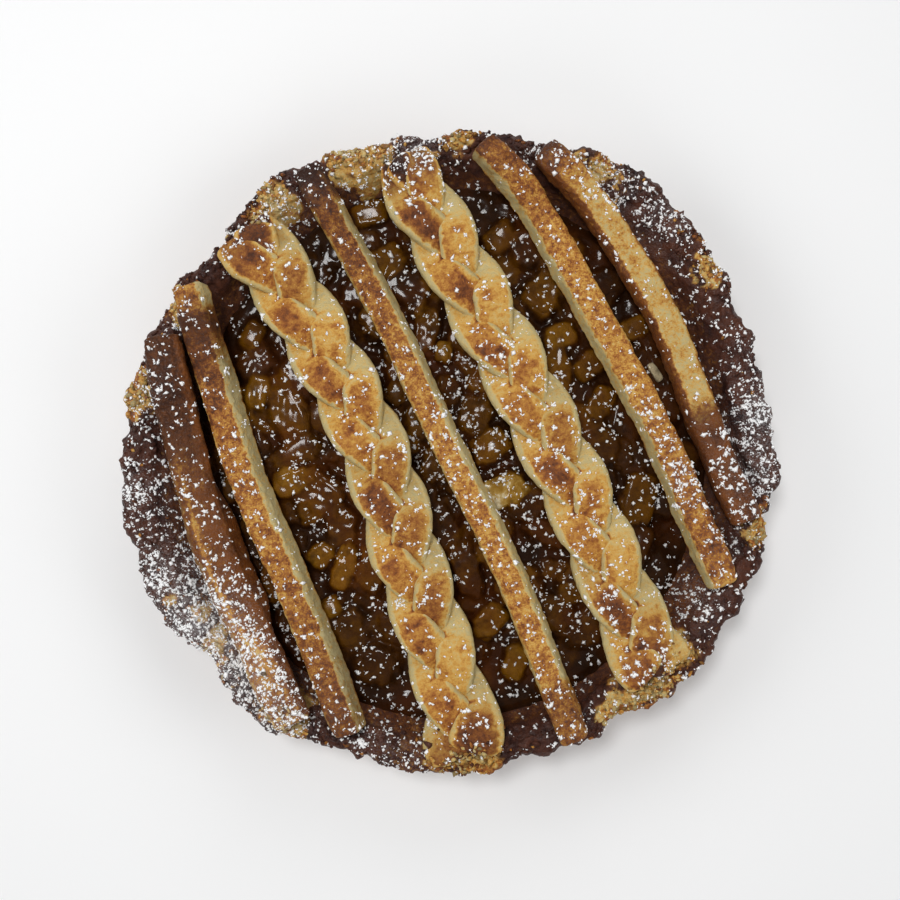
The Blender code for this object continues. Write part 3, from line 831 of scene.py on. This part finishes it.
def make_strip(name):
    """A section carried along the strip's middle line, lumpy all over and layered at its cut edges."""
    _, width, thickness, roll = STRIPS[name]
    left_in, right_in, left_slope, right_slope = (ACROSS[name][place] for place in (1, 2, 6, 7))
    path, fine, closing = strip_path(name)
    across, above = rounded_oblong(width, thickness, FINE_SIDES, CUT_BLUNTNESS)
    slope = np.where(across > 0, right_slope, left_slope) * (above / thickness + 0.5)
    across = across * (1 - slope)
    # The far left strip's low flank, soaked with juice, spreads towards its neighbour
    share = np.linspace(0, 1, FINE_STEPS)[:, None]
    spread = eased((share - 0.36) / 0.12) * eased((0.80 - share) / 0.12) * (name == "strip_far_left")
    foot = eased(across / (width / 2)) * eased(0.4 - above / (thickness / 2))
    reach, depth = leant(across, above, np.radians(roll))
    widened = closing * fine ** 0.4 * reach + FLANK_SPREAD * spread * foot
    rings = swept(path, widened, closing * fine * depth)
    u = np.broadcast_to(across / (width / 2), fine.shape[:1] + across.shape)
    crown = np.broadcast_to(above / (thickness / 2), u.shape)
    seed = len(name) * 7
    cut = np.maximum(eased((u - right_in) / 0.2), eased((left_in - u) / 0.2))
    lumps = layered(rings, seed, (0.45, 8.0), (0.26, 2.7), (0.14, 1.1))
    layers = cut * (0.18 * noise(rings * [1, 1, 3.0], 2.0, seed + 3) + 0.16 * noise(rings, 1.3, seed + 4))
    rings += ring_normals(rings, FINE_STEPS // 2, FINE_SIDES // 4) * (lumps + layers)[..., None]
    points, faces = closed_rings(rings, [path[0]], [path[-1]])
    strip = add_piece(name + "_pastry", points, faces)
    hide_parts(name)
    brown, burnt, juice = strip_tones(name, rings, u, crown, spread, seed + 5)
    dust = 0.8 * sugar_cover(rings) * (crown > 0) + 0.05
    paint_pastry(strip, with_ends(brown, (0.7, 0.6)), with_ends(burnt, (0.5, 0.3)),
                 with_ends(juice), with_ends(dust))
    return strip


strips = [make_strip(name) for name in STRIPS]
print("strips", [triangles_in(item) for item in strips])

# %% [markdown]
# Each plait is three flattened strands that swing from side to side as sines a third of a turn apart,
# and dip twice as often, so that each one passes over a neighbour and then under the other. A strand
# is fat where it lies on top and thin where it dives. The top of each lobe browned in the oven, while
# its sides and the part that dives stayed cream.
# The creases beside a strand that passes over, and each strand's underside, are painted dark as shade.

# %% Plaits
BRAID_STEPS = 460
BRAID_SIDES = 40
ROLLED_BLUNTNESS = 0.56
# Width in millimetres of the painted shade beside a strand that passes over
CREASE_SHADE_WIDTH = 1.2
# How far a plait's golden top reaches to its right and to its left
GOLDEN_TO = (11.3, 10.5)
# How much wider each plait's first and last end was pressed out
SPLAY = {"braid_left": (0.45, 0.80), "braid_right": (0.05, 0.60)}
# How much the oven burnt each plait's first and last end
ENDS_BURNT = {"braid_left": (0.22, 0.14), "braid_right": (0.40, 0.10)}


def strand_swing(along, run, lobe, first, strand):
    """Where one strand lies: it swings across as a sine, and over and under twice as often. Both
    swings shrink towards the pressed ends."""
    phase = 2 * np.pi * ((along - first) / (3 * lobe) + strand / 3)
    press = eased(np.minimum(along, run - along) / PLAIT_END)
    across = -STRAND_SWING * (0.75 + 0.25 * press) * np.sin(phase)
    rise = -STRAND_RISE * (0.4 + 0.6 * press) * np.sin(2 * phase)
    return across, rise, phase, press


def plait_path(name):
    """Route, length, height and fatness of a plait, worked out as for its solid and read off finely."""
    points, lobe, first = PLAITS[name]
    route = smooth_route(points, STRAND_STEPS)
    run = route_length(route)
    along = np.linspace(0, run, STRAND_STEPS)
    fatness = end_taper(STRAND_STEPS, run, STRAND_END)
    corners = rounded_oblong(STRAND_WIDTH, STRAND_THICKNESS, STRAND_SIDES, STRAND_BLUNTNESS)
    swings = [strand_swing(along, run, lobe, first, strand)[:2] for strand in range(3)]
    reaches = np.hstack([across[:, None] + np.outer(fatness, corners[0]) for across, _ in swings])
    depths = np.hstack([rise[:, None] + np.outer(fatness, corners[1]) for _, rise in swings])
    middle = read_off(resting_height(route, reaches, depths), BRAID_STEPS)
    fine = read_off(fatness, BRAID_STEPS) * rounded_off(BRAID_STEPS, run)
    return smooth_route(points, BRAID_STEPS), run, middle, fine


def crease_shade_of(sways, strand, lateral, wide):
    """Painted shade at each point of a strand, in the crease beside a strand that passes over it."""
    crease_shade = np.zeros(lateral.shape)
    for other, (swing, rise, _, _) in enumerate(sways):
        if other != strand:
            beside = np.abs(lateral - swing[:, None]) - 0.47 * STRAND_WIDTH * wide[:, None]
            over = eased((rise - sways[strand][1] - 0.2) / 0.8)[:, None]
            crease_shade = np.maximum(crease_shade, over * eased((CREASE_SHADE_WIDTH - beside) / CREASE_SHADE_WIDTH))
    return crease_shade


def strand_tones(name, strand, sways, wide, across, rings, u, crown, end_burnt, seed):
    """Brownness and burning of a strand: golden lobes, cream sides, painted shade in creases and underneath.
    """
    swing, _, phase, press = sways[strand]
    pressed = 1.0 - press[:, None]
    count = np.floor(phase / np.pi).astype(int)
    draw = hashed(np.stack([count, count * 0 + strand, count * 0 + len(name)], 1), 5)[:, None]
    late = -np.sin(2 * phase - 0.55)[:, None]
    top = eased((late + 0.7) / 1.4)
    shake = layered(rings, seed, (0.08, 3.5), (0.09, 1.2))
    inside = eased((0.68 - np.abs(u) + 2 * shake) / 0.30)
    lateral = swing[:, None] + wide[:, None] * across
    past = np.abs(lateral) + 2 * shake - np.where(lateral > 0, *GOLDEN_TO)
    margin = eased(past / 0.6) * press[:, None]
    edge = eased((0.86 - np.abs(u) + shake) / 0.12) * (1 - margin)
    patch = 0.7 * noise(rings, 5.0, seed + 2) + 0.4 * noise(rings, 2.2, seed + 4)
    patch = patch + 1.5 * draw * eased((late + 0.1) / 0.7) - 0.46
    patch = eased(patch / 0.30) * inside * top
    paler = 0.19 * eased((lateral + 1.0) / 2.0)
    brown = 0.03 + edge * (0.24 + 0.25 * top + 0.24 * patch - paler)
    brown = brown + (0.10 + 0.6 * end_burnt) * pressed * (1 - 0.6 * margin)
    brown = brown + 0.04 * noise(rings, 1.6, seed + 3)
    brown = np.where(crown < 0.05, 0.05 + 0.3 * pressed, brown)
    # Painted shade: the crease beside a strand that passes over it is darkened
    crease_shade = crease_shade_of(sways, strand, lateral, wide)
    brown = brown * (1 - crease_shade) + 0.92 * crease_shade
    # Painted shade: the underside of each strand is darkened, so the gaps between strands look dark
    brown = np.maximum(brown, 0.95 * eased((-0.35 - crown) / 0.4))
    return brown, (end_burnt * pressed + 0.12 * (draw > 0.75)) * edge * (crown > 0)


def make_plait(name):
    """Three strands that swing and rise in turn, each a section carried along its path, in one mesh."""
    _, lobe, first = PLAITS[name]
    route, run, middle, fine = plait_path(name)
    along = np.linspace(0, run, BRAID_STEPS)
    across, above = rounded_oblong(STRAND_WIDTH, STRAND_THICKNESS, BRAID_SIDES, ROLLED_BLUNTNESS)
    u = np.broadcast_to(across / (STRAND_WIDTH / 2), (BRAID_STEPS, BRAID_SIDES))
    crown = np.broadcast_to(above / (STRAND_THICKNESS / 2), u.shape)
    splay = np.where(along < run / 2, *SPLAY[name]) * (1 - eased(np.minimum(along, run - along) / PLAIT_END))
    end_burnt = np.where(along < run / 2, *ENDS_BURNT[name])[:, None]
    sways = []
    for strand in range(3):
        swing, rise, phase, press = strand_swing(along, run, lobe, first, strand)
        sways.append((swing * (1 + 0.4 * splay), rise, phase, press))
    parts, painted = [], []
    for strand, (swing, rise, phase, press) in enumerate(sways):
        path = np.column_stack([route + sideways(route) * swing[:, None], middle + rise])
        wide = fine * (1.0 - 0.06 * np.sin(2 * phase) * press + splay)
        rings = swept(path, wide[:, None] * across, fine[:, None] * above)
        seed = 60 + strand * 5 + len(name)
        lumps = layered(rings, seed, (0.30, 7.0), (0.15, 2.6), (0.07, 1.1))
        cut = eased((np.abs(u) - 0.75) / 0.2) * 0.16 * noise(rings * [1, 1, 3.0], 1.6, seed + 3)
        rings += ring_normals(rings, BRAID_STEPS // 2, BRAID_SIDES // 4) * (lumps + cut)[..., None]
        parts.append(closed_rings(rings, [path[0]], [path[-1]]))
        brown, burnt = strand_tones(name, strand, sways, wide, across, rings, u, crown, end_burnt, seed + 4)
        dust = 0.7 * sugar_cover(rings) * (crown > 0)
        painted.append([with_ends(brown, (0.5, 0.5)), with_ends(burnt, (0.4, 0.2)),
                        with_ends(np.zeros(u.shape)), with_ends(dust)])
    points, faces = join_surfaces(parts)
    plait = add_piece(name + "_pastry", points, faces)
    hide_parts(name)
    paint_pastry(plait, *np.concatenate(painted, axis=1))
    return plait


plaits = [make_plait(name) for name in PLAITS]
print("plaits", [triangles_in(item) for item in plaits])

# %% [markdown]
# Crumbs and sugar are loose grains that lie on whatever is below them, so each one is dropped
# straight down onto the pieces made so far, and takes the place and the slope that it lands on. A
# crumb is a lumpy ball of twenty faces and a fleck of sugar a sharp one of eight. All grains of one
# kind are worked out together as arrays.

# %% Grains
def lumpy_ball():
    """The 12 corners and 20 faces of an icosahedron with unit radius."""
    golden = (1 + 5 ** 0.5) / 2
    corners = [(0, a, b * golden) for a in (-1, 1) for b in (-1, 1)]
    corners += [(a, b * golden, 0) for a in (-1, 1) for b in (-1, 1)]
    corners += [(b * golden, 0, a) for a in (-1, 1) for b in (-1, 1)]
    corners = np.array(corners, float)
    faces = []
    for i in range(12):
        for j in range(i + 1, 12):
            for k in range(j + 1, 12):
                sides = [np.linalg.norm(corners[a] - corners[b]) for a, b in ((i, j), (j, k), (k, i))]
                if max(sides) < 2.01:
                    outward = np.dot(np.cross(corners[j] - corners[i], corners[k] - corners[i]), corners[i])
                    faces.append((i, j, k) if outward > 0 else (i, k, j))
    return corners / np.linalg.norm(corners[0]), np.array(faces)


def fleck():
    """The 6 corners and 8 faces of an octahedron with unit radius."""
    corners = np.array([(1, 0, 0), (-1, 0, 0), (0, 1, 0), (0, -1, 0), (0, 0, 1), (0, 0, -1)], float)
    around = [0, 2, 1, 3]
    upper = [(around[i], around[(i + 1) % 4], 4) for i in range(4)]
    lower = [(around[(i + 1) % 4], around[i], 5) for i in range(4)]
    return corners, np.array(upper + lower)


def dropped(x, y):
    """Where a grain that falls at each place comes to rest, the slope there, and if it hit the pie."""
    graph = bpy.context.evaluated_depsgraph_get()
    places, slopes, landed = np.zeros((len(x), 3)), np.zeros((len(x), 3)), np.zeros(len(x), bool)
    down = Vector((0, 0, -1))
    for count, (east, north) in enumerate(zip(x, y)):
        start = Vector((east * MM, north * MM, 0.2))
        hit, place, slope, _, _, _ = bpy.context.scene.ray_cast(graph, start, down)
        if hit:
            places[count], slopes[count], landed[count] = place / MM, slope, True
    return places, slopes, landed


def grains(shape, places, slopes, radii, flat, unevenness, seed):
    """Points and faces of uneven grains, squashed along the slope's normal and half sunk in."""
    draw = np.random.RandomState(seed)
    corners, faces = shape
    count = len(places)
    lumps = 1.0 + draw.uniform(-unevenness, unevenness, (count, len(corners), 1))
    long_side = draw.uniform(0.62, 1.5, count)
    sizes = np.stack([radii * long_side, radii / long_side, radii * flat], 1)
    slopes = np.where(slopes[:, 2:] < 0, -slopes, slopes)
    spin = draw.uniform(0, 2 * np.pi, count)
    hint = np.stack([np.cos(spin), np.sin(spin), np.zeros(count)], 1)
    side = np.cross(slopes, hint)
    side /= np.maximum(np.linalg.norm(side, axis=1), 1e-6)[:, None]
    axes = np.stack([side, np.cross(slopes, side), slopes], 1)
    shaped = corners[None] * lumps * sizes[:, None]
    sunk = places + slopes * (radii * flat * 0.35)[:, None]
    points = np.einsum("nik,nkj->nij", shaped, axes) + sunk[:, None]
    numbers = faces[None] + (np.arange(count) * len(corners))[:, None, None]
    return points.reshape(-1, 3), numbers.reshape(-1, 3)


print("lumpy ball and fleck", [len(shape()[1]) for shape in (lumpy_ball, fleck)], "faces")

# %% [markdown]
# Pastry crumbs lie along the broken rim, most of them in the golden patches, and give the edge its
# rough outline. A crumb is 0.6 to 3 mm across.

# %% Crumbs
CRUMBS = 2600
CRUMB_RADIUS = 0.62
# Lowest crumb, and the highest in a golden patch and elsewhere
CRUMB_BOTTOM = 24.0
CRUMB_TOPS = (43.5, 38.0)


def make_crumbs():
    """Lumpy balls dropped near the rim, thickest in the golden patches."""
    draw = np.random.RandomState(17)
    bearing = draw.uniform(0, 2 * np.pi, CRUMBS * 5)
    inwards = np.abs(draw.normal(0, 5.5, CRUMBS * 5)) + 0.2
    radius = RIM_RADIUS + rim_reach(bearing) - inwards
    x, y = radius * np.cos(bearing) - RIM_X, radius * np.sin(bearing) - RIM_Y
    wanted = 0.12 + 0.88 * spots(field(x, y), GOLDEN)
    keep = draw.uniform(0, 1, len(x)) < wanted
    x, y = x[keep][:CRUMBS], y[keep][:CRUMBS]
    places, slopes, landed = dropped(x, y)
    bare = bare_crust(places, spots(places, GOLDEN))
    highest = np.where(bare > 0.5, *CRUMB_TOPS)
    landed &= (places[:, 2] > CRUMB_BOTTOM) & (places[:, 2] < highest)
    places, slopes, bare = places[landed], slopes[landed], bare[landed]
    radii = np.clip(np.exp(draw.normal(np.log(CRUMB_RADIUS), 0.38, len(places))), 0.3, 1.5)
    points, faces = grains(lumpy_ball(), places, slopes, radii, 0.75, 0.36, 18)
    crumbs = add_piece("pastry_crumbs", points, faces)
    tone = np.clip(draw.normal(0.24, 0.16, len(places)) + 0.4 * (1 - bare), 0.1, 0.95)
    burnt = draw.uniform(-0.5, 0.5, len(places)).clip(0, 1)
    juice = (draw.uniform(0, 1, len(places)) > bare + 0.1) * 0.9
    corners = len(points) // len(places)
    paint_pastry(crumbs, *np.repeat([tone, burnt, juice, sugar_cover(places)], corners, axis=1))
    return crumbs


crumbs = make_crumbs()
print("crumbs", triangles_in(crumbs), "triangles")

# %% [markdown]
# Icing sugar was shaken on through a sieve at the end, so it lies on everything as white flecks, 0.3
# to 2 mm across, most of them in small groups. A fleck is kept or dropped by a seeded draw against
# the showers above.

# %% Icing sugar
FLECKS = 24000
FLECK_RADIUS = 0.31
GROUPED = 0.66
GROUP_SPREAD = 0.42


def make_sugar():
    """Flecks dropped where the showers fell, about two thirds of them close to an earlier one."""
    draw = np.random.RandomState(29)
    tries = FLECKS * 9
    radius = 121 * np.sqrt(draw.uniform(0, 1, tries))
    bearing = draw.uniform(0, 2 * np.pi, tries)
    x, y = radius * np.cos(bearing), radius * np.sin(bearing)
    wanted = -np.log(1.0 - sugar_cover(field(x, y)))
    keep = draw.uniform(0, 1.1, tries) < wanted
    x, y = x[keep][:FLECKS], y[keep][:FLECKS]
    grouped = draw.uniform(0, 1, len(x)) < GROUPED
    source = np.maximum.accumulate(np.where(grouped, 0, np.arange(len(x))))
    x = np.where(grouped, x[source] + draw.normal(0, GROUP_SPREAD, len(x)), x)
    y = np.where(grouped, y[source] + draw.normal(0, GROUP_SPREAD, len(x)), y)
    places, slopes, landed = dropped(x, y)
    places, slopes = places[landed], slopes[landed]
    radii = np.clip(np.exp(draw.normal(np.log(FLECK_RADIUS), 0.44, len(places))), 0.13, 1.0)
    points, faces = grains(fleck(), places, slopes, radii, 0.6, 0.45, 30)
    sugar = add_piece("icing_sugar", points, faces)
    return sugar


sugar = make_sugar()
print("icing sugar", triangles_in(sugar), "triangles")

# %% [markdown]
# Shaders are sums of textures and of the values painted on the pieces, so a small class wraps a shader
# output and turns plus, minus and times into Math nodes. Colours are written as they look on a screen,
# 0 to 255, and turned to linear light.

# %% Shader arithmetic
def seen(red, green, blue):
    """Linear colour of a screen colour."""
    values = np.array([red, green, blue]) / 255.0
    linear = np.where(values <= 0.04045, values / 12.92, ((values + 0.055) / 1.055) ** 2.4)
    return (*(float(part) for part in linear), 1.0)


def add_node(tree, kind, inputs, **settings):
    """A shader node with its settings; an input is linked where it is a wire and set otherwise."""
    node = tree.nodes.new("ShaderNode" + kind)
    for name, value in settings.items():
        setattr(node, name, value)
    for slot, value in inputs.items():
        if isinstance(value, Wire):
            tree.links.new(value.socket, node.inputs[slot])
        else:
            node.inputs[slot].default_value = value
    return node


class Wire:
    """One output socket. Arithmetic on it adds a Math node and gives that node's output."""

    def __init__(self, tree, socket):
        self.tree, self.socket = tree, socket

    def joined(self, operation, first, second):
        """The result of one Math node for two values."""
        node = add_node(self.tree, "Math", {0: first, 1: second}, operation=operation)
        return Wire(self.tree, node.outputs[0])

    def held(self):
        """The value kept between 0 and 1."""
        low = self.joined("MAXIMUM", self, 0.0)
        return low.joined("MINIMUM", low, 1.0)


def arithmetic(operation, turned):
    """A method of Wire that joins a wire and another value, the other way round if turned."""
    def method(wire, other):
        return wire.joined(operation, *((other, wire) if turned else (wire, other)))
    return method


for sign, operation in (("add", "ADD"), ("sub", "SUBTRACT"), ("mul", "MULTIPLY")):
    setattr(Wire, f"__{sign}__", arithmetic(operation, False))
    setattr(Wire, f"__r{sign}__", arithmetic(operation, True))


class Shader:
    """A material with one Principled shader, and short ways to add what feeds it."""

    def __init__(self, name):
        self.material = bpy.data.materials.new(name)
        self.material.use_nodes = True
        self.tree = self.material.node_tree
        self.main = self.tree.nodes["Principled BSDF"]
        here = self.output("TexCoord", "Object", {})
        self.place = self.output("VectorMath", 0, {0: here, "Scale": 1 / MM}, operation="SCALE")

    def output(self, kind, name, inputs, **settings):
        """The wire from one output of a new node."""
        return Wire(self.tree, add_node(self.tree, kind, inputs, **settings).outputs[name])

    def painted(self, name):
        """A value painted on the piece."""
        return self.output("Attribute", "Fac", {}, attribute_name=name)

    def noise(self, size, detail=2.0, layers=1.0):
        """Smooth noise from about 0.25 to 0.75 with lumps of a size in millimetres, and level layers."""
        pressed = self.output("VectorMath", 0, {0: self.place, 1: (1.0, 1.0, layers)}, operation="MULTIPLY")
        return self.output("TexNoise", 0, {"Vector": pressed, "Scale": 1.0 / size, "Detail": detail})

    def blisters(self, size):
        """Distance to the nearest of scattered points, which gives round spots."""
        return self.output("TexVoronoi", "Distance", {"Vector": self.place, "Scale": 1.0 / size})

    def ramp(self, value, stops):
        """Colour of a value along a row of colours, each with its position."""
        node = add_node(self.tree, "ValToRGB", {"Fac": value})
        elements = node.color_ramp.elements
        while len(elements) < len(stops):
            elements.new(0.5)
        for element, (position, colour) in zip(elements, stops):
            element.position = position
            element.color = seen(*colour)
        return Wire(self.tree, node.outputs["Color"])

    def mixed(self, share, first, second):
        """Two colours mixed by a share; either may be a wire or a screen colour."""
        first, second = (colour if isinstance(colour, Wire) else seen(*colour) for colour in (first, second))
        return self.output("Mix", 2, {0: share, 6: first, 7: second}, data_type="RGBA")

    def feed(self, name, value):
        """Send a wire or a plain number to one of the shader's inputs."""
        if isinstance(value, Wire):
            self.tree.links.new(value.socket, self.main.inputs[name])
        else:
            self.main.inputs[name].default_value = value

    def relief(self, height, depth):
        """Small relief: a height from 0 to 1 over a depth in millimetres."""
        self.feed("Normal", self.output("Bump", "Normal", {"Distance": depth * MM, "Height": height}))


print("pale pastry in linear light", np.round(seen(190, 172, 124)[:3], 3))

# %% [markdown]
# All the pastry has one way of looking. Brownness picks a colour from cream to dark, shaken by blotches
# and blisters. Burning, dried juice and fine sugar then each cover part of it, with ragged edges.

# %% Materials
BAKED = [(0.00, (190, 174, 126)), (0.16, (203, 174, 110)), (0.34, (203, 154, 74)), (0.50, (178, 121, 54)),
         (0.66, (144, 84, 38)), (0.82, (106, 60, 34)), (1.00, (60, 35, 25))]


def pastry(name, juice_dark, juice_light, spread=0.34, speck=0.75):
    """Baked pastry: the painted brownness picks the colour, and burning, juice and sugar cover it."""
    look = Shader(name)
    blotch, fine, grain = look.noise(4.6, 3.0), look.noise(1.4, 3.0), look.noise(0.55, 2.0)
    layer = look.noise(2.4, 3.0, layers=5.0)
    speckle = (0.36 - look.blisters(1.1)).held()
    brown, burnt = look.painted("brown"), look.painted("char")
    juice, dust = look.painted("juice"), look.painted("dust")
    level = (brown + (blotch - 0.5) * spread * 1.5 + (fine - 0.5) * spread * 2.4 + (grain - 0.5) * speck
             + (layer - 0.5) * 0.35 + speckle * 0.35)
    colour = look.ramp(level.held(), BAKED)
    colour = look.mixed((burnt * 1.5 + (blotch - 0.55) * 1.6 * (burnt + 0.1)).held(), colour, (50, 29, 21))
    thin = (look.noise(8.0, 3.0) * 2.6 - 0.7 + (fine - 0.5) * 1.4).held()
    dried = look.mixed(thin, juice_dark, juice_light)
    covered = (juice * 1.5 + (fine - 0.5) * 1.2 - 0.2).held()
    colour = look.mixed(covered, colour, dried)
    haze = ((grain - 0.60) * 5.0 + dust * 2.4).held() * (dust * 0.45).held()
    colour = look.mixed(haze, colour, (222, 222, 224))
    look.feed("Base Color", colour)
    look.feed("Roughness", (0.62 - covered * 0.22 + (fine - 0.5) * 0.2).held())
    look.feed("Specular IOR Level", 0.25)
    look.relief(fine * 0.5 + grain * 0.3 + layer * 0.2, 0.95)
    return look.material


def wet(name, colours):
    """Syrup and the apple in it: a tone picks the colour, and a darker film covers it in patches."""
    look = Shader(name)
    patch, fine, grain = look.noise(6.0, 3.0), look.noise(1.6, 3.0), look.noise(0.45, 2.0)
    tone = look.painted("tone") + (patch - 0.5) * 0.50 + (fine - 0.5) * 0.26
    colour = look.ramp(tone.held(), colours)
    colour = look.mixed(((look.noise(22.0, 2.0) - 0.46) * 4.0).held() * 0.45, colour, (100, 46, 8))
    cover = ((look.noise(4.4, 3.0) - 0.53) * 5.0).held() * 0.60
    colour = look.mixed(cover, colour, (44, 22, 6))
    look.feed("Base Color", colour)
    look.feed("Roughness", 0.45)
    look.feed("Specular IOR Level", 0.06)
    look.feed("Coat Weight", 0.35)
    look.feed("Coat Roughness", 0.12)
    look.relief(fine * 0.35 + grain * 0.65, 0.62)
    return look.material


crust_look = pastry("crust_pastry", (47, 30, 29), (85, 49, 35))
strip_look = pastry("strip_pastry", (70, 38, 22), (116, 66, 28))
braid_look = pastry("braid_pastry", (70, 38, 22), (116, 66, 28), 0.20, 0.34)
AMBER = [(0.0, (42, 21, 5)), (0.22, (64, 34, 5)), (0.45, (98, 60, 3)), (0.7, (128, 86, 14)),
         (0.86, (152, 112, 38)), (0.95, (180, 144, 74)), (1.0, (216, 200, 160))]
apple_look = wet("stewed_apple_in_syrup", AMBER)
sugar_shader = Shader("icing_sugar")
sugar_shader.feed("Base Color", seen(252, 252, 252))
sugar_shader.feed("Roughness", 0.85)
sugar_look = sugar_shader.material

for item, look in [(crust, crust_look), (crumbs, crust_look), (syrup, apple_look), (chunks, apple_look),
                   (sugar, sugar_look), *((strip, strip_look) for strip in strips),
                   *((plait, braid_look) for plait in plaits)]:
    item.data.materials.append(look)
print("materials", [look.name for look in bpy.data.materials])

# %% [markdown]
# The photograph looks straight down from about 40 cm with a phone's lens, in soft indoor light. The
# floor is plain and pale. A small bright lamp near the camera's line gives the syrup its tiny glints.
# Four wide soft lamps at the sides only brighten: their own reflections are switched off, because
# they would lie on the dark syrup as a grey haze.

# %% Camera, floor and light
CAMERA_HEIGHT = 0.366
CAMERA_TILT = np.radians(2.0)
LENS, SENSOR = 40.4, 36
aim = Vector((0, 0, 0.034))
camera = bpy.data.objects.new("camera", bpy.data.cameras.new("camera"))
camera.location = aim + Vector((0, -np.sin(CAMERA_TILT), np.cos(CAMERA_TILT))) * CAMERA_HEIGHT
camera.rotation_euler = (CAMERA_TILT, 0, 0)
camera.data.lens = LENS
camera.data.sensor_width = SENSOR
bpy.context.scene.collection.objects.link(camera)
bpy.context.scene.camera = camera

floor_mesh = bpy.data.meshes.new("floor")
floor_mesh.from_pydata([(-2, -2, 0), (2, -2, 0), (2, 2, 0), (-2, 2, 0)], [], [(0, 1, 2, 3)])
floor = bpy.data.objects.new("floor", floor_mesh)
bpy.context.scene.collection.objects.link(floor)
floor_shader = Shader("floor")
floor_shader.feed("Base Color", (0.93, 0.93, 0.93, 1.0))
floor_shader.feed("Roughness", 0.9)
floor_mesh.materials.append(floor_shader.material)


def soft_light(name, place, size, power, mirrored=False):
    """A round lamp at a place, turned to face the frame's origin."""
    light = bpy.data.lights.new(name, "AREA")
    light.shape = "DISK"
    light.size = size
    light.energy = power
    item = bpy.data.objects.new(name, light)
    item.location = place
    item.rotation_euler = (-Vector(place)).to_track_quat("-Z", "Y").to_euler()
    item.visible_glossy = mirrored
    bpy.context.scene.collection.objects.link(item)
    return item


lights = [soft_light("overhead", (-0.17, 0.20, 0.92), 0.20, 3.2, mirrored=True),
          soft_light("left", (-0.62, 0.10, 0.50), 0.50, 1.7),
          soft_light("right", (0.62, -0.12, 0.50), 0.50, 1.5),
          soft_light("far", (0.10, 0.64, 0.50), 0.50, 1.5),
          soft_light("near", (-0.08, -0.64, 0.50), 0.50, 1.3)]
sky = bpy.data.worlds.new("sky")
sky.use_nodes = True
sky.node_tree.nodes["Background"].inputs["Color"].default_value = (0.96, 0.98, 1.0, 1.0)
sky.node_tree.nodes["Background"].inputs["Strength"].default_value = 0.16
bpy.context.scene.world = sky
bpy.context.scene.view_settings.view_transform = "Standard"
